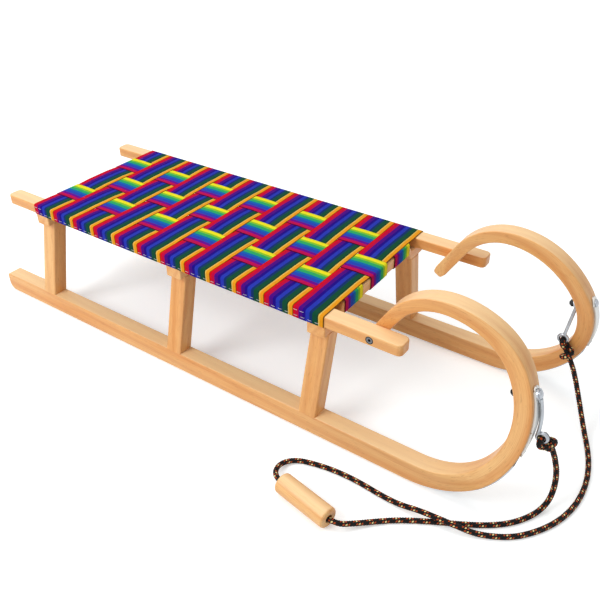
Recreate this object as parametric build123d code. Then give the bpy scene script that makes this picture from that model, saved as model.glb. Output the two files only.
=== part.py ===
"""Wooden sled with bent horns, a woven webbing seat and a pull rope.

Millimetres. +X points forward to the horns, +Y to the sled's left, +Z up.
The ground is z = 0. The origin is on the ground under the middle of the sled.
The pieces are worked out with x measured from the seat rails' rear end, and
are moved by MIDDLE_X at the end. The rope's route is given in the final frame.
"""

from build123d import *
import math
import os

# ---------------------------------------------------------------- sizes
# Runners: flat stock that is bent up and back into a horn
TRACK_WIDTH = 367.0          # outside to outside of the runners
RUNNER_WIDTH = 31.0          # across the sled
RUNNER_HEIGHT = 38.0         # wood only, on the flat
RUNNER_TAIL = 46.0           # how far the runners reach behind the rails
RUNNER_EDGE = 2.5            # rounding of the long edges
TAIL_HEEL_RADIUS = 16.0      # lower corner of the tail
TAIL_TOP_RADIUS = 6.0        # upper corner of the tail

# Horn outline, outside of the bend
BEND_AHEAD = 32.0            # from the rails' front end to where the sole leaves the ground
BEND_RADIUS = 163.0          # from the ground up to the horn's front
CROWN_RADIUS = 145.0         # from the front over to the top
RETURN_RADIUS = 110.0        # from the top back down
RETURN_TURN = 58.0           # degrees past the top
TIP_BELOW_RAIL = 21.5        # how far the tip reaches below the rail

# Horn thickness, thinner than the runner all the way
HORN_FRONT_THICKNESS = 26.0
HORN_TOP_THICKNESS = 22.0
TIP_THICKNESS = 21.5
LEAN_BEND_REACH = 25.0       # from the corner of the horn's lean to its tangent point

# Steel on the runners
SHOE_THICKNESS = 2.0
SHOE_WIDTH = 22.0
SHOE_INSET = 22.0            # from the tail's end
SHOE_END_ANGLE = 70.0        # degrees round the bend
PLATE_THICKNESS = 3.0
PLATE_WIDTH = 18.0
PLATE_START_ANGLE = 74.0     # degrees round the bend
PLATE_END_ANGLE = 38.0       # degrees above the horn's front
PLATE_CORNER = 8.0

# Seat rails
RAIL_WIDTH = 30.0
RAIL_HEIGHT = 20.0
RAIL_REAR_OVERHANG = 84.0    # bare rail behind the first cross strap
RAIL_FRONT_OVERHANG = 133.4  # bare rail ahead of the last cross strap
RAIL_TOP = 232.0             # seat height without the webbing
RAIL_SPREAD = 326.2          # outside to outside of the rails
RAIL_EDGE = 2.5
RAIL_END_RADIUS = 9.0

# Crossbeams and legs
BEAM_WIDTH = 34.0
BEAM_HEIGHT = 20.0
BEAM_RISE = 17.0             # the middle stands this much above the ends
BEAM_STEP_CLEARANCE = 1.6    # from the rail or leg to the beam's step
BEAM_STEP = 13.5             # length of the slope up to the middle
BEAM_STEP_RADIUS = 5.0
BEAM_EDGE = 2.5
MIDDLE_BEAM_SHARE = 0.54     # of the way from the rear beam to the front one
LEG_DEPTH = 30.0             # along the sled
LEG_WIDTH = 28.0             # across the sled
LEG_HEAD_INSET = 13.0        # from the beam's end to the leg's outer face
LEG_EDGE = 2.5
TENON_LENGTH = 22.0          # along the sled
TENON_WIDTH = 16.0           # across the sled
HEAD_TENON_HEIGHT = 12.0     # up into the beam
FOOT_TENON_DEPTH = 20.0      # down into the runner
TENON_FIT = 0.1

# Webbing
STRAP_THICKNESS = 1.4
STRAP_GAP = 0.3              # between webbing and what it lies on
STRAP_COUNT = 12
CROSS_STRAP_WIDTH = 55.0
CROSS_STRAP_SPACE = 1.6
FIELD_INSET = 2.5            # from a beam's outer face to the first cross strap
LONG_STRAP_WIDTH = 48.0
LONG_STRAP_INSET = 3.0       # from the beams' steps to the outer long straps
STRAP_TUCK = 25.0            # length turned in under a rail or beam
WEAVE_MARGIN = 2.0           # flat beyond a crossing strap's edge
WEAVE_RADIUS = 12.0
WEAVE_END_SHARE = 0.7        # of the way from the last long strap to the rail

# Bolts
BOLT_RADIUS = 3.0
BOLT_HOLE_FIT = 0.2
COUNTERSINK_RADIUS = 6.5
COUNTERSINK_DEPTH = 3.4
SOCKET_ACROSS = 4.0
SOCKET_DEPTH = 2.2
DOME_RADIUS = 6.5
DOME_HEIGHT = 3.6
DOME_RIM = 1.2
NUT_ACROSS = 10.0
NUT_HEIGHT = 5.0
WASHER_RADIUS = 7.0
WASHER_THICKNESS = 1.2
BOLT_TAIL = 2.0              # thread past the nut
HORN_BOLT_ANGLE = 20.0       # degrees above the horn's front
SEAT_GAP = 0.3               # under a flat eye or nut on a curved face

# Rope hangers
ROD_RADIUS = 2.75
EYE_RADIUS = 8.5
EYE_THICKNESS = 3.0
NECK_WIDTH = 6.0             # flat length between the eye and the rod
NECK_REACH = 11.5            # from the bolt to the neck's end
RING_RADIUS = 7.2            # to the middle of the rod
FRONT_RING_ANGLE = -7.0      # degrees above the horn's front
BACK_ROD_START = 9.0         # from the bolt to the straight rod's end
BACK_ROD_INSET = 1.5         # from the eye's middle to the rod's, off the horn
BACK_RING_DROP = 73.9        # from the eye down to the ring
BACK_RING_SETBACK = 6.7      # from the eye back to the ring
RING_FIT = 0.3               # between a ring and the knot round it

# Rope and handle
ROPE_RADIUS = 4.0
KNOT_RADIUS = 9.5
KNOT_FLAT = 8.0              # from the knot's middle to where the rope leaves it
HANDLE_RADIUS = 17.0
HANDLE_LENGTH = 98.5
HANDLE_BORE_RADIUS = 6.25
HANDLE_EDGE = 4.0
HANDLE_BORE_EDGE = 1.0
HANDLE_X = 299.5             # middle of the handle, where it lies on the ground
HANDLE_Y = -315.75
HANDLE_TURN = -10.2          # degrees from straight ahead
ARC_SHARE = 0.45             # share of a run that an arc of the rope takes up

# ------------------------------------------------------- worked-out places
SOLE = SHOE_THICKNESS
RUNNER_TOP = SOLE + RUNNER_HEIGHT
RUNNER_MIDDLE_Y = (TRACK_WIDTH - RUNNER_WIDTH) / 2
RAIL_MIDDLE_Y = (RAIL_SPREAD - RAIL_WIDTH) / 2
RAIL_BOTTOM = RAIL_TOP - RAIL_HEIGHT
RAIL_OUTER_Y = RAIL_SPREAD / 2
RAIL_INNER_Y = RAIL_OUTER_Y - RAIL_WIDTH

STRAP_FIELD = STRAP_COUNT * CROSS_STRAP_WIDTH + (STRAP_COUNT - 1) * CROSS_STRAP_SPACE
RAIL_LENGTH = RAIL_REAR_OVERHANG + STRAP_FIELD + RAIL_FRONT_OVERHANG

BEND_START = RAIL_LENGTH + BEND_AHEAD
HORN_CENTRE_Z = SOLE + BEND_RADIUS
HORN_FRONT_X = BEND_START + BEND_RADIUS
CROWN_X = HORN_FRONT_X - CROWN_RADIUS
HORN_TOP = HORN_CENTRE_Z + CROWN_RADIUS
INNER_TOP = HORN_TOP - HORN_TOP_THICKNESS
INNER_RADIUS = (INNER_TOP - RUNNER_TOP) / 2
INNER_CENTRE_Z = RUNNER_TOP + INNER_RADIUS
INNER_CENTRE_X = HORN_FRONT_X - HORN_FRONT_THICKNESS - INNER_RADIUS

HORN_MIDDLE_Y = RAIL_INNER_Y - RUNNER_WIDTH / 2
HORN_LEAN = RUNNER_MIDDLE_Y - HORN_MIDDLE_Y

BEAM_TOP_AT_RAIL = RAIL_BOTTOM
BEAM_BOTTOM_AT_RAIL = BEAM_TOP_AT_RAIL - BEAM_HEIGHT
BEAM_BOTTOM_MIDDLE = BEAM_BOTTOM_AT_RAIL + BEAM_RISE
BEAM_END_FLAT = max(RAIL_WIDTH, LEG_HEAD_INSET + LEG_WIDTH) + BEAM_STEP_CLEARANCE
BEAM_MIDDLE_HALF = RAIL_OUTER_Y - BEAM_END_FLAT - BEAM_STEP
LONG_STRAP_PITCH = BEAM_MIDDLE_HALF - LONG_STRAP_INSET - LONG_STRAP_WIDTH / 2
REAR_BEAM_X = RAIL_REAR_OVERHANG - FIELD_INSET + BEAM_WIDTH / 2
FRONT_BEAM_X = RAIL_REAR_OVERHANG + STRAP_FIELD + FIELD_INSET - BEAM_WIDTH / 2
MIDDLE_BEAM_X = REAR_BEAM_X + MIDDLE_BEAM_SHARE * (FRONT_BEAM_X - REAR_BEAM_X)
LEG_HEAD_Y = RAIL_OUTER_Y - LEG_HEAD_INSET - LEG_WIDTH / 2

WEB_LEVEL = RAIL_TOP + STRAP_GAP + STRAP_THICKNESS / 2
WEAVE_STEP = STRAP_THICKNESS + STRAP_GAP

FRONT_FITTINGS = 20.0        # how far the bolt and hanger stand out of the horn
MIDDLE_X = (HORN_FRONT_X + FRONT_FITTINGS - RUNNER_TAIL) / 2

# The rope's route, hand-laid, from the right hanger over the ground, through
# the handle and back to the left hanger. It is in the sled's final frame.
ROPE_ROUTE = [
    (574, -119, 138),
    (581, -113, 122),
    (589, -107, 98),
    (597, -104, 66),
    (599, -107, 32),
    (595.5, -117, 11),
    (586, -139, 4),
    (568, -168, 4),
    (544, -191, 4),
    (511, -212, 4),
    (466, -236, 4),
    (428, -259, 4),
    (402, -281, 5),
    (382, -303, 9),
    (359.8, -326.6, 15),
    (319.2, -319.3, 15.6),
    (279.8, -312.2, 15.1),
    (239.2, -304.9, 15),
    (223.8, -287.8, 12),
    (223, -264.8, 7),
    (237.2, -246.7, 4),
    (262, -238.7, 4),
    (295, -232, 4),
    (338, -230, 4),
    (384, -234, 4),
    (416, -235, 5.5),
    (448, -233.5, 13),
    (502, -229, 13),
    (530, -220, 5.5),
    (556, -207, 4),
    (579, -191, 4),
    (599, -167, 4),
    (615, -140, 4),
    (626, -110, 4),
    (632, -76, 4),
    (631.5, -36, 4),
    (624, 2, 4),
    (612, 37, 4),
    (594, 70, 11),
    (575, 95, 36),
    (557, 111, 68),
    (541, 120, 97),
    (527, 125, 113),
]

STATIONS = {"rear": REAR_BEAM_X, "middle": MIDDLE_BEAM_X, "front": FRONT_BEAM_X}
SIDES = {"left": 1, "right": -1}


# ---------------------------------------------------------------- helpers
def at_angle(centre_x, centre_z, radius, degrees):
    """A point on a circle in the sled's side view, 0 degrees forward, 90 up."""
    a = math.radians(degrees)
    return (centre_x + radius * math.cos(a), 0, centre_z + radius * math.sin(a))


def side_arc(centre_x, centre_z, radius, start, end):
    """An arc in the side view between two angles in degrees."""
    return ThreePointArc(
        at_angle(centre_x, centre_z, radius, start),
        at_angle(centre_x, centre_z, radius, (start + end) / 2),
        at_angle(centre_x, centre_z, radius, end),
    )


def mirrored(solid, side):
    """A left-hand solid as it is, or its mirror image for the right."""
    return solid if side > 0 else mirror(solid, about=Plane.XZ)


def lean_corners():
    """Heights of the two corners of the horn's lean, and its slope in degrees."""
    low = RUNNER_TOP + LEAN_BEND_REACH
    high = INNER_TOP - LEAN_BEND_REACH
    return low, high, math.degrees(math.atan2(HORN_LEAN, high - low))


def horn_middle_y(z):
    """The middle of the left horn's width at a height between the lean's bends."""
    low, high, slope = lean_corners()
    return RUNNER_MIDDLE_Y - (z - low) * math.tan(math.radians(slope))


# ---------------------------------------------------------------- runners
def leaning_slab(width):
    """The room that a strip of this width takes along the left runner.

    It is upright along the flat, leans inward up the horn's front and is
    upright again over the top, where the horn lies against the rail.
    """
    low, high, slope = lean_corners()
    radius = LEAN_BEND_REACH / math.tan(math.radians(slope / 2))
    over = HORN_TOP + 20
    x = INNER_CENTRE_X

    def edge_line(shift):
        foot_y = RUNNER_MIDDLE_Y + shift
        head_y = HORN_MIDDLE_Y + shift
        return FilletPolyline(
            (x, foot_y, -5), (x, foot_y, low), (x, head_y, high), (x, head_y, over), radius=radius
        )

    outer, inner = edge_line(width / 2), edge_line(-width / 2)
    ends = [Line(outer @ 1, inner @ 1), Line(inner @ 0, outer @ 0)]
    outline = make_face(outer.edges() + inner.edges() + ends)
    front = extrude(outline, amount=HORN_FRONT_X - x + 20, dir=(1, 0, 0))
    flat = Pos(x - 600, RUNNER_MIDDLE_Y, 0) * Box(1200, width, 2 * RUNNER_TOP)
    back = Pos(x - 150, HORN_MIDDLE_Y, over - 100) * Box(300, width, 200)
    return front + flat + back


def return_end():
    """Where the outside of the horn's return bend ends and the tip begins."""
    turned = 90 + RETURN_TURN
    return Vector(*at_angle(CROWN_X, HORN_TOP - RETURN_RADIUS, RETURN_RADIUS, turned))


def inner_return_radius():
    """The inside radius of the return bend that gives the tip its thickness."""
    turn = math.radians(RETURN_TURN)
    end = return_end()
    room = (INNER_CENTRE_X - end.X) * math.sin(turn) + (end.Z - INNER_TOP) * math.cos(turn)
    return (room - TIP_THICKNESS) / (1 - math.cos(turn))


def runner_outline():
    """The runner and its horn in side view."""
    turned = 90 + RETURN_TURN
    along = Vector(*at_angle(0, 0, 1, turned + 90))
    across = Vector(*at_angle(0, 0, 1, turned))

    outer_back = side_arc(CROWN_X, HORN_TOP - RETURN_RADIUS, RETURN_RADIUS, 90, turned)
    inner_radius = inner_return_radius()
    inner_back = side_arc(INNER_CENTRE_X, INNER_TOP - inner_radius, inner_radius, turned, 90)
    tip_length = ((outer_back @ 1).Z - RAIL_BOTTOM + TIP_BELOW_RAIL) / -along.Z
    outer_tip = (outer_back @ 1) + along * tip_length
    inner_tip = outer_tip - across * TIP_THICKNESS

    tail = -RUNNER_TAIL
    edges = [
        Line((tail, 0, SOLE), (BEND_START, 0, SOLE)),
        side_arc(BEND_START, HORN_CENTRE_Z, BEND_RADIUS, -90, 0),
        side_arc(CROWN_X, HORN_CENTRE_Z, CROWN_RADIUS, 0, 90),
        outer_back,
        Line(outer_back @ 1, outer_tip),
        Line(outer_tip, inner_tip),
        Line(inner_tip, inner_back @ 0),
        inner_back,
        side_arc(INNER_CENTRE_X, INNER_CENTRE_Z, INNER_RADIUS, 90, -90),
        Line((INNER_CENTRE_X, 0, RUNNER_TOP), (tail, 0, RUNNER_TOP)),
        Line((tail, 0, RUNNER_TOP), (tail, 0, SOLE)),
    ]
    face = make_face(Wire(edges))
    corners = face.vertices().group_by(Axis.X)[0].sort_by(Axis.Z)
    face = fillet(corners[0], TAIL_HEEL_RADIUS)
    top = face.vertices().filter_by(lambda v: v.Z > RUNNER_TOP - 0.01).sort_by(Axis.X)[0]
    return fillet(top, TAIL_TOP_RADIUS)


def wrapped_strip(inner_radius, thickness, start, end):
    """A side-view outline of a strip that lies on the outside of the bend.

    Angles are measured round the bend from the ground, and past 90 degrees
    they go on round the horn's crown.
    """
    outer_radius = inner_radius + thickness
    low_end = min(end, 90)
    parts = [
        side_arc(BEND_START, HORN_CENTRE_Z, inner_radius, start - 90, low_end - 90),
        side_arc(BEND_START, HORN_CENTRE_Z, outer_radius, start - 90, low_end - 90),
    ]
    inner, outer = [parts[0]], [parts[1]]
    if end > 90:
        step = BEND_RADIUS - CROWN_RADIUS
        inner.append(side_arc(CROWN_X, HORN_CENTRE_Z, inner_radius - step, 0, end - 90))
        outer.append(side_arc(CROWN_X, HORN_CENTRE_Z, outer_radius - step, 0, end - 90))
    return inner, outer


def runner():
    """The left runner: one bent, leaning bar with its bolt holes."""
    bar = extrude(runner_outline(), amount=TRACK_WIDTH, dir=(0, 1, 0))
    bar = (bar & leaning_slab(RUNNER_WIDTH)).solids()[0]
    bar = fillet(bar.edges(), RUNNER_EDGE)
    bar -= horn_bolt_axis() * Cylinder(BOLT_RADIUS + BOLT_HOLE_FIT, 4 * RUNNER_HEIGHT)
    bar -= rail_bolt_axis() * Cylinder(BOLT_RADIUS + BOLT_HOLE_FIT, 4 * (RAIL_WIDTH + RUNNER_WIDTH))
    for x in STATIONS.values():
        bar -= foot_tenon(x, TENON_FIT)
    return bar


def runner_shoe():
    """The steel strip under the left runner, flat and then round the bend."""
    start = SHOE_INSET - RUNNER_TAIL
    inner, outer = wrapped_strip(BEND_RADIUS, SHOE_THICKNESS, 0, SHOE_END_ANGLE)
    edges = [
        Line((start, 0, SOLE), (BEND_START, 0, SOLE)),
        *inner,
        Line(inner[-1] @ 1, outer[-1] @ 1),
        *outer,
        Line((BEND_START, 0, 0), (start, 0, 0)),
        Line((start, 0, 0), (start, 0, SOLE)),
    ]
    strip = extrude(make_face(Wire(edges)), amount=TRACK_WIDTH, dir=(0, 1, 0))
    return (strip & leaning_slab(SHOE_WIDTH)).solids()[0]


def horn_plate():
    """The steel plate on the front of the left horn, with round ends."""
    end = 90 + PLATE_END_ANGLE
    inner, outer = wrapped_strip(BEND_RADIUS, PLATE_THICKNESS, PLATE_START_ANGLE, end)
    edges = [
        *inner,
        Line(inner[-1] @ 1, outer[-1] @ 1),
        *outer,
        Line(inner[0] @ 0, outer[0] @ 0),
    ]
    strip = extrude(make_face(Wire(edges)), amount=TRACK_WIDTH, dir=(0, 1, 0))
    plate = (strip & leaning_slab(PLATE_WIDTH)).solids()[0]
    corners = plate.edges().filter_by(lambda e: abs(e.length - PLATE_THICKNESS) < 0.05)
    plate = fillet(corners, PLATE_CORNER)
    return plate - horn_bolt_axis() * Cylinder(BOLT_RADIUS + BOLT_HOLE_FIT, 4 * RUNNER_HEIGHT)


# ---------------------------------------------------------------- seat frame
def tip_middle(z):
    """The middle of the horn's straight end at a height, along the sled."""
    turned = 90 + RETURN_TURN
    middle = return_end() - Vector(*at_angle(0, 0, TIP_THICKNESS / 2, turned))
    return middle.X + (z - middle.Z) / math.tan(math.radians(turned + 90))


def seat_rail():
    """The left rail, with round ends and a countersunk hole for its bolt."""
    blank = Pos(RAIL_LENGTH / 2, RAIL_MIDDLE_Y, RAIL_TOP - RAIL_HEIGHT / 2)
    rail = blank * Box(RAIL_LENGTH, RAIL_WIDTH, RAIL_HEIGHT)
    rail = fillet(rail.edges().filter_by(Axis.Z), RAIL_END_RADIUS)
    rail = fillet(rail.edges().filter_by(lambda e: abs((e @ 0).Z - (e @ 1).Z) < 0.01), RAIL_EDGE)
    return rail - rail_bolt_axis() * countersunk_room(BOLT_HOLE_FIT)


def foot_tenon(x, fit=0.0):
    """The left leg's tenon into the runner, or its mortise with a fit."""
    lean = (RUNNER_MIDDLE_Y - LEG_HEAD_Y) / (BEAM_BOTTOM_AT_RAIL - RUNNER_TOP)
    depth = FOOT_TENON_DEPTH + fit
    return leaning_block(
        x, RUNNER_MIDDLE_Y + depth * lean, RUNNER_TOP - depth, RUNNER_MIDDLE_Y, RUNNER_TOP,
        TENON_LENGTH + 2 * fit, TENON_WIDTH + 2 * fit,
    )


def head_tenon(x, fit=0.0):
    """The left leg's tenon into the crossbeam, or its mortise with a fit."""
    lean = (RUNNER_MIDDLE_Y - LEG_HEAD_Y) / (BEAM_BOTTOM_AT_RAIL - RUNNER_TOP)
    height = HEAD_TENON_HEIGHT + fit
    return leaning_block(
        x, LEG_HEAD_Y, BEAM_BOTTOM_AT_RAIL, LEG_HEAD_Y - height * lean,
        BEAM_BOTTOM_AT_RAIL + height, TENON_LENGTH + 2 * fit, TENON_WIDTH + 2 * fit,
    )


def leaning_block(x, low_y, low_z, high_y, high_z, depth, width):
    """A bar that leans across the sled between two level ends."""
    half = width / 2
    corners = [
        (x, low_y - half, low_z),
        (x, low_y + half, low_z),
        (x, high_y + half, high_z),
        (x, high_y - half, high_z),
    ]
    face = make_face(Polyline(*corners, close=True))
    return extrude(face, amount=depth / 2, dir=(1, 0, 0), both=True)


def leg(x):
    """A left leg: it leans inward from the runner and has a tenon at each end."""
    bar = leaning_block(
        x, RUNNER_MIDDLE_Y, RUNNER_TOP, LEG_HEAD_Y, BEAM_BOTTOM_AT_RAIL, LEG_DEPTH, LEG_WIDTH
    )
    long_edges = bar.edges().filter_by(lambda e: abs((e @ 0).Z - (e @ 1).Z) > 1)
    return fillet(long_edges, LEG_EDGE) + foot_tenon(x) + head_tenon(x)


def crossbeam(x):
    """A bearer whose middle stands up between the rails."""
    half = RAIL_OUTER_Y
    foot = half - BEAM_END_FLAT
    head = BEAM_MIDDLE_HALF
    low, high = BEAM_BOTTOM_AT_RAIL, BEAM_BOTTOM_MIDDLE

    def long_line(lift):
        points = [(x, -half, low), (x, -foot, low), (x, -head, high)]
        points += [(x, head, high), (x, foot, low), (x, half, low)]
        return FilletPolyline(*[(a, b, c + lift) for a, b, c in points], radius=BEAM_STEP_RADIUS)

    under, over = long_line(0), long_line(BEAM_HEIGHT)
    ends = [Line(under @ 0, over @ 0), Line(under @ 1, over @ 1)]
    outline = make_face(under.edges() + over.edges() + ends)
    beam = extrude(outline, amount=BEAM_WIDTH / 2, dir=(1, 0, 0), both=True)
    beam = fillet(beam.edges().filter_by(lambda e: abs((e @ 0).X - (e @ 1).X) < 0.01), BEAM_EDGE)
    for side in SIDES.values():
        beam -= mirrored(head_tenon(x, TENON_FIT), side)
    return beam


# ---------------------------------------------------------------- webbing
def band(points, radii, thickness):
    """A flat band of even thickness along a bent line, drawn in the XY plane."""
    points = [Vector(*p) for p in points]
    ways = [(b - a).normalized() for a, b in zip(points, points[1:])]
    sides = []
    for shift in (thickness / 2, -thickness / 2):
        normals = [Vector(-way.Y, way.X) for way in ways]
        line = [points[0] + normals[0] * shift]
        bends = []
        for i, radius in enumerate(radii):
            before, after = normals[i], normals[i + 1]
            line.append(points[i + 1] + (before + after) * (shift / (1 + before.dot(after))))
            left_turn = ways[i].cross(ways[i + 1]).Z > 0
            bends.append(radius - shift if left_turn else radius + shift)
        line.append(points[-1] + normals[-1] * shift)
        sides.append(FilletPolyline(*line, radius=bends))
    first, second = sides
    ends = [Line(first @ 0, second @ 0), Line(first @ 1, second @ 1)]
    return make_face(first.edges() + second.edges() + ends)


def cross_strap(number):
    """A strap across the rails, over and under the long straps in turn.

    Its ends turn in under the rails, cut away where a crossbeam lies there.
    """
    pitch = CROSS_STRAP_WIDTH + CROSS_STRAP_SPACE
    middle_x = RAIL_REAR_OVERHANG + CROSS_STRAP_WIDTH / 2 + number * pitch
    fold = RAIL_EDGE + STRAP_GAP + STRAP_THICKNESS / 2
    side_y = RAIL_OUTER_Y + STRAP_GAP + STRAP_THICKNESS / 2
    under_z = RAIL_BOTTOM - STRAP_GAP - STRAP_THICKNESS / 2
    start_y = RAIL_OUTER_Y - STRAP_TUCK
    flat_half = LONG_STRAP_WIDTH / 2 + WEAVE_MARGIN
    weave_end = LONG_STRAP_PITCH + flat_half
    level_y = weave_end + (RAIL_INNER_Y - weave_end) * WEAVE_END_SHARE

    points = [(-start_y, under_z), (-side_y, under_z), (-side_y, WEB_LEVEL), (-level_y, WEB_LEVEL)]
    radii = [fold, fold, WEAVE_RADIUS]
    for place in range(3):
        strap_y = (place - 1) * LONG_STRAP_PITCH
        above = (number + place) % 2 == 1
        level = WEB_LEVEL + (WEAVE_STEP if above else -WEAVE_STEP)
        points += [(strap_y - flat_half, level), (strap_y + flat_half, level)]
        radii += [WEAVE_RADIUS, WEAVE_RADIUS]
    points += [(level_y, WEB_LEVEL), (side_y, WEB_LEVEL), (side_y, under_z), (start_y, under_z)]
    radii += [WEAVE_RADIUS, fold, fold]

    face = Plane.YZ * band(points, radii, STRAP_THICKNESS)
    strap = Pos(middle_x, 0, 0) * extrude(face, amount=CROSS_STRAP_WIDTH / 2, both=True)
    room_width = 2 * (RAIL_OUTER_Y + STRAP_GAP / 2)
    for x in STATIONS.values():
        room = Box(BEAM_WIDTH + 2 * STRAP_GAP, room_width, 2 * STRAP_TUCK)
        strap -= Pos(x, 0, RAIL_BOTTOM - STRAP_TUCK) * room
    return strap


def long_strap(place):
    """A strap along the seat that wraps the front and rear crossbeams."""
    fold = BEAM_EDGE + STRAP_GAP + STRAP_THICKNESS / 2
    reach = BEAM_WIDTH / 2 + STRAP_GAP + STRAP_THICKNESS / 2
    under_z = BEAM_BOTTOM_MIDDLE - STRAP_GAP - STRAP_THICKNESS / 2
    rear, front = REAR_BEAM_X - reach, FRONT_BEAM_X + reach
    points = [
        (REAR_BEAM_X, under_z),
        (rear, under_z),
        (rear, WEB_LEVEL),
        (front, WEB_LEVEL),
        (front, under_z),
        (FRONT_BEAM_X, under_z),
    ]
    face = Plane.XZ * band(points, [fold] * 4, STRAP_THICKNESS)
    strap = extrude(face, amount=LONG_STRAP_WIDTH / 2, both=True)
    return Pos(0, place * LONG_STRAP_PITCH, 0) * strap


# ---------------------------------------------------------------- bolts
def horn_bolt_axis():
    """Where the left horn's bolt leaves the plate, its Z pointing forward and up."""
    radius = CROWN_RADIUS + PLATE_THICKNESS
    seat = at_angle(CROWN_X, HORN_CENTRE_Z, radius, HORN_BOLT_ANGLE)
    inside = at_angle(CROWN_X, HORN_CENTRE_Z, horn_seat_radius(), HORN_BOLT_ANGLE)
    y = horn_middle_y((seat[2] + inside[2]) / 2)
    way = at_angle(0, 0, 1, HORN_BOLT_ANGLE)
    return Plane(origin=(seat[0], y, seat[2]), x_dir=(0, 1, 0), z_dir=way).location


def horn_seat_radius(reach=0.0, gap=0.0):
    """From the crown's centre to the horn's inner face, along the bolt.

    With a reach it is to a flat seat that long each way, and with a gap that
    seat stays clear of the hollow face.
    """
    angle = math.radians(HORN_BOLT_ANGLE)
    shift_x = INNER_CENTRE_X - CROWN_X
    shift_z = INNER_CENTRE_Z - HORN_CENTRE_Z
    along = shift_x * math.cos(angle) + shift_z * math.sin(angle)
    across = shift_z * math.cos(angle) - shift_x * math.sin(angle)
    room = (INNER_RADIUS - gap) ** 2
    return min(along + math.sqrt(room - (end - across) ** 2) for end in (reach, -reach))


def horn_bolt_depth(reach):
    """From the plate's face to where a flat eye or washer seats inside the horn."""
    return CROWN_RADIUS + PLATE_THICKNESS - horn_seat_radius(reach, SEAT_GAP)


def rail_bolt_axis():
    """Where the left rail's bolt leaves the rail, its Z pointing outward."""
    z = RAIL_TOP - RAIL_HEIGHT / 2
    return Plane(origin=(tip_middle(z), RAIL_OUTER_Y, z), x_dir=(1, 0, 0), z_dir=(0, 1, 0)).location


def turned(outline):
    """A solid turned about the Z axis from points in the XZ plane."""
    return revolve(make_face(Polyline(*[(r, 0, z) for r, z in outline], close=True)), Axis.Z)


def countersunk_room(fit=0.0):
    """A countersunk head and its shaft, from the rail's face through the horn."""
    shaft = BOLT_RADIUS + fit
    depth = RAIL_WIDTH + RUNNER_WIDTH + 1
    head = COUNTERSINK_RADIUS + fit
    return turned([(0, 0), (head, 0), (shaft, -COUNTERSINK_DEPTH), (shaft, -depth), (0, -depth)])


def nut_and_tail(seat):
    """A washer, a nut and the thread's end, from a seat inward along -Z."""
    depth = WASHER_THICKNESS + NUT_HEIGHT
    nut = RegularPolygon(NUT_ACROSS / 2, 6, major_radius=False)
    nut = Pos(0, 0, seat - depth) * extrude(nut, amount=NUT_HEIGHT)
    washer = Pos(0, 0, seat - WASHER_THICKNESS / 2) * Cylinder(WASHER_RADIUS, WASHER_THICKNESS)
    length = depth + BOLT_TAIL
    return nut + washer + Pos(0, 0, seat - length / 2) * Cylinder(BOLT_RADIUS, length)


def rail_bolt():
    """The bolt that holds the left horn's tip to its rail, with its nut."""
    socket = RegularPolygon(SOCKET_ACROSS / 2, 6, major_radius=False)
    socket = Pos(0, 0, -SOCKET_DEPTH) * extrude(socket, amount=2 * SOCKET_DEPTH)
    bolt = countersunk_room() + nut_and_tail(-RAIL_WIDTH - RUNNER_WIDTH) - socket
    return rail_bolt_axis() * bolt


def horn_bolt(side):
    """A horn's bolt. The right one has its hanger's eye under the head, and
    the left one under the nut."""
    if side > 0:
        head_seat = SEAT_GAP
        nut_seat = -horn_bolt_depth(NECK_REACH) - EYE_THICKNESS
    else:
        head_seat = SEAT_GAP + EYE_THICKNESS
        nut_seat = -horn_bolt_depth(WASHER_RADIUS)
    head = Pos(0, 0, head_seat) * dome_head()
    length = head_seat - nut_seat
    shaft = Pos(0, 0, (head_seat + nut_seat) / 2) * Cylinder(BOLT_RADIUS, length)
    return horn_bolt_axis() * (head + shaft + nut_and_tail(nut_seat))


def dome_head():
    """A round head with a low rim and a crowned top, seated on z = 0."""
    rise = DOME_HEIGHT - DOME_RIM
    radius = (DOME_RADIUS**2 + rise**2) / (2 * rise)
    rim_top = (DOME_RADIUS, 0, DOME_RIM)
    half_way = DOME_RADIUS / 2
    middle = (half_way, 0, DOME_HEIGHT - radius + math.sqrt(radius**2 - half_way**2))
    edges = [
        Line((0, 0, 0), (DOME_RADIUS, 0, 0)),
        Line((DOME_RADIUS, 0, 0), rim_top),
        ThreePointArc(rim_top, middle, (0, 0, DOME_HEIGHT)),
        Line((0, 0, DOME_HEIGHT), (0, 0, 0)),
    ]
    return revolve(make_face(Wire(edges)), Axis.Z)


# ---------------------------------------------------------------- hangers
def rod(start, end, radius):
    """A straight round rod between two points."""
    line = Line(start, end)
    return sweep(Plane(origin=line @ 0, z_dir=line % 0) * Circle(radius), path=line)


def hanger_eye(low):
    """A flat eye on the horn's bolt, with a neck that points down the horn."""
    middle = low + EYE_THICKNESS / 2
    neck = Pos(0, -NECK_REACH / 2, middle) * Box(NECK_WIDTH, NECK_REACH, EYE_THICKNESS)
    eye = Pos(0, 0, middle) * Cylinder(EYE_RADIUS, EYE_THICKNESS)
    hole = Pos(0, 0, middle) * Cylinder(BOLT_RADIUS + BOLT_HOLE_FIT, 2 * EYE_THICKNESS)
    return horn_bolt_axis() * (eye + neck - hole)


def hanger_ring(side, fit=0.0):
    """The ring at a hanger's lower end, standing in line with the sled."""
    y = horn_bolt_axis().position.Y
    if side > 0:
        place = Pos(back_eye_middle() + Vector(-BACK_RING_SETBACK, 0, -BACK_RING_DROP))
    else:
        reach = front_rod_radius() + RING_RADIUS
        x, _, z = at_angle(CROWN_X, HORN_CENTRE_Z, reach, FRONT_RING_ANGLE)
        place = Pos(x, y, z)
    return place * Rot(90, 0, 0) * Torus(RING_RADIUS, ROD_RADIUS + fit)


def front_rod_radius():
    """How far the front rod's middle is from the crown's centre."""
    return CROWN_RADIUS + PLATE_THICKNESS + SEAT_GAP + ROD_RADIUS


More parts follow.
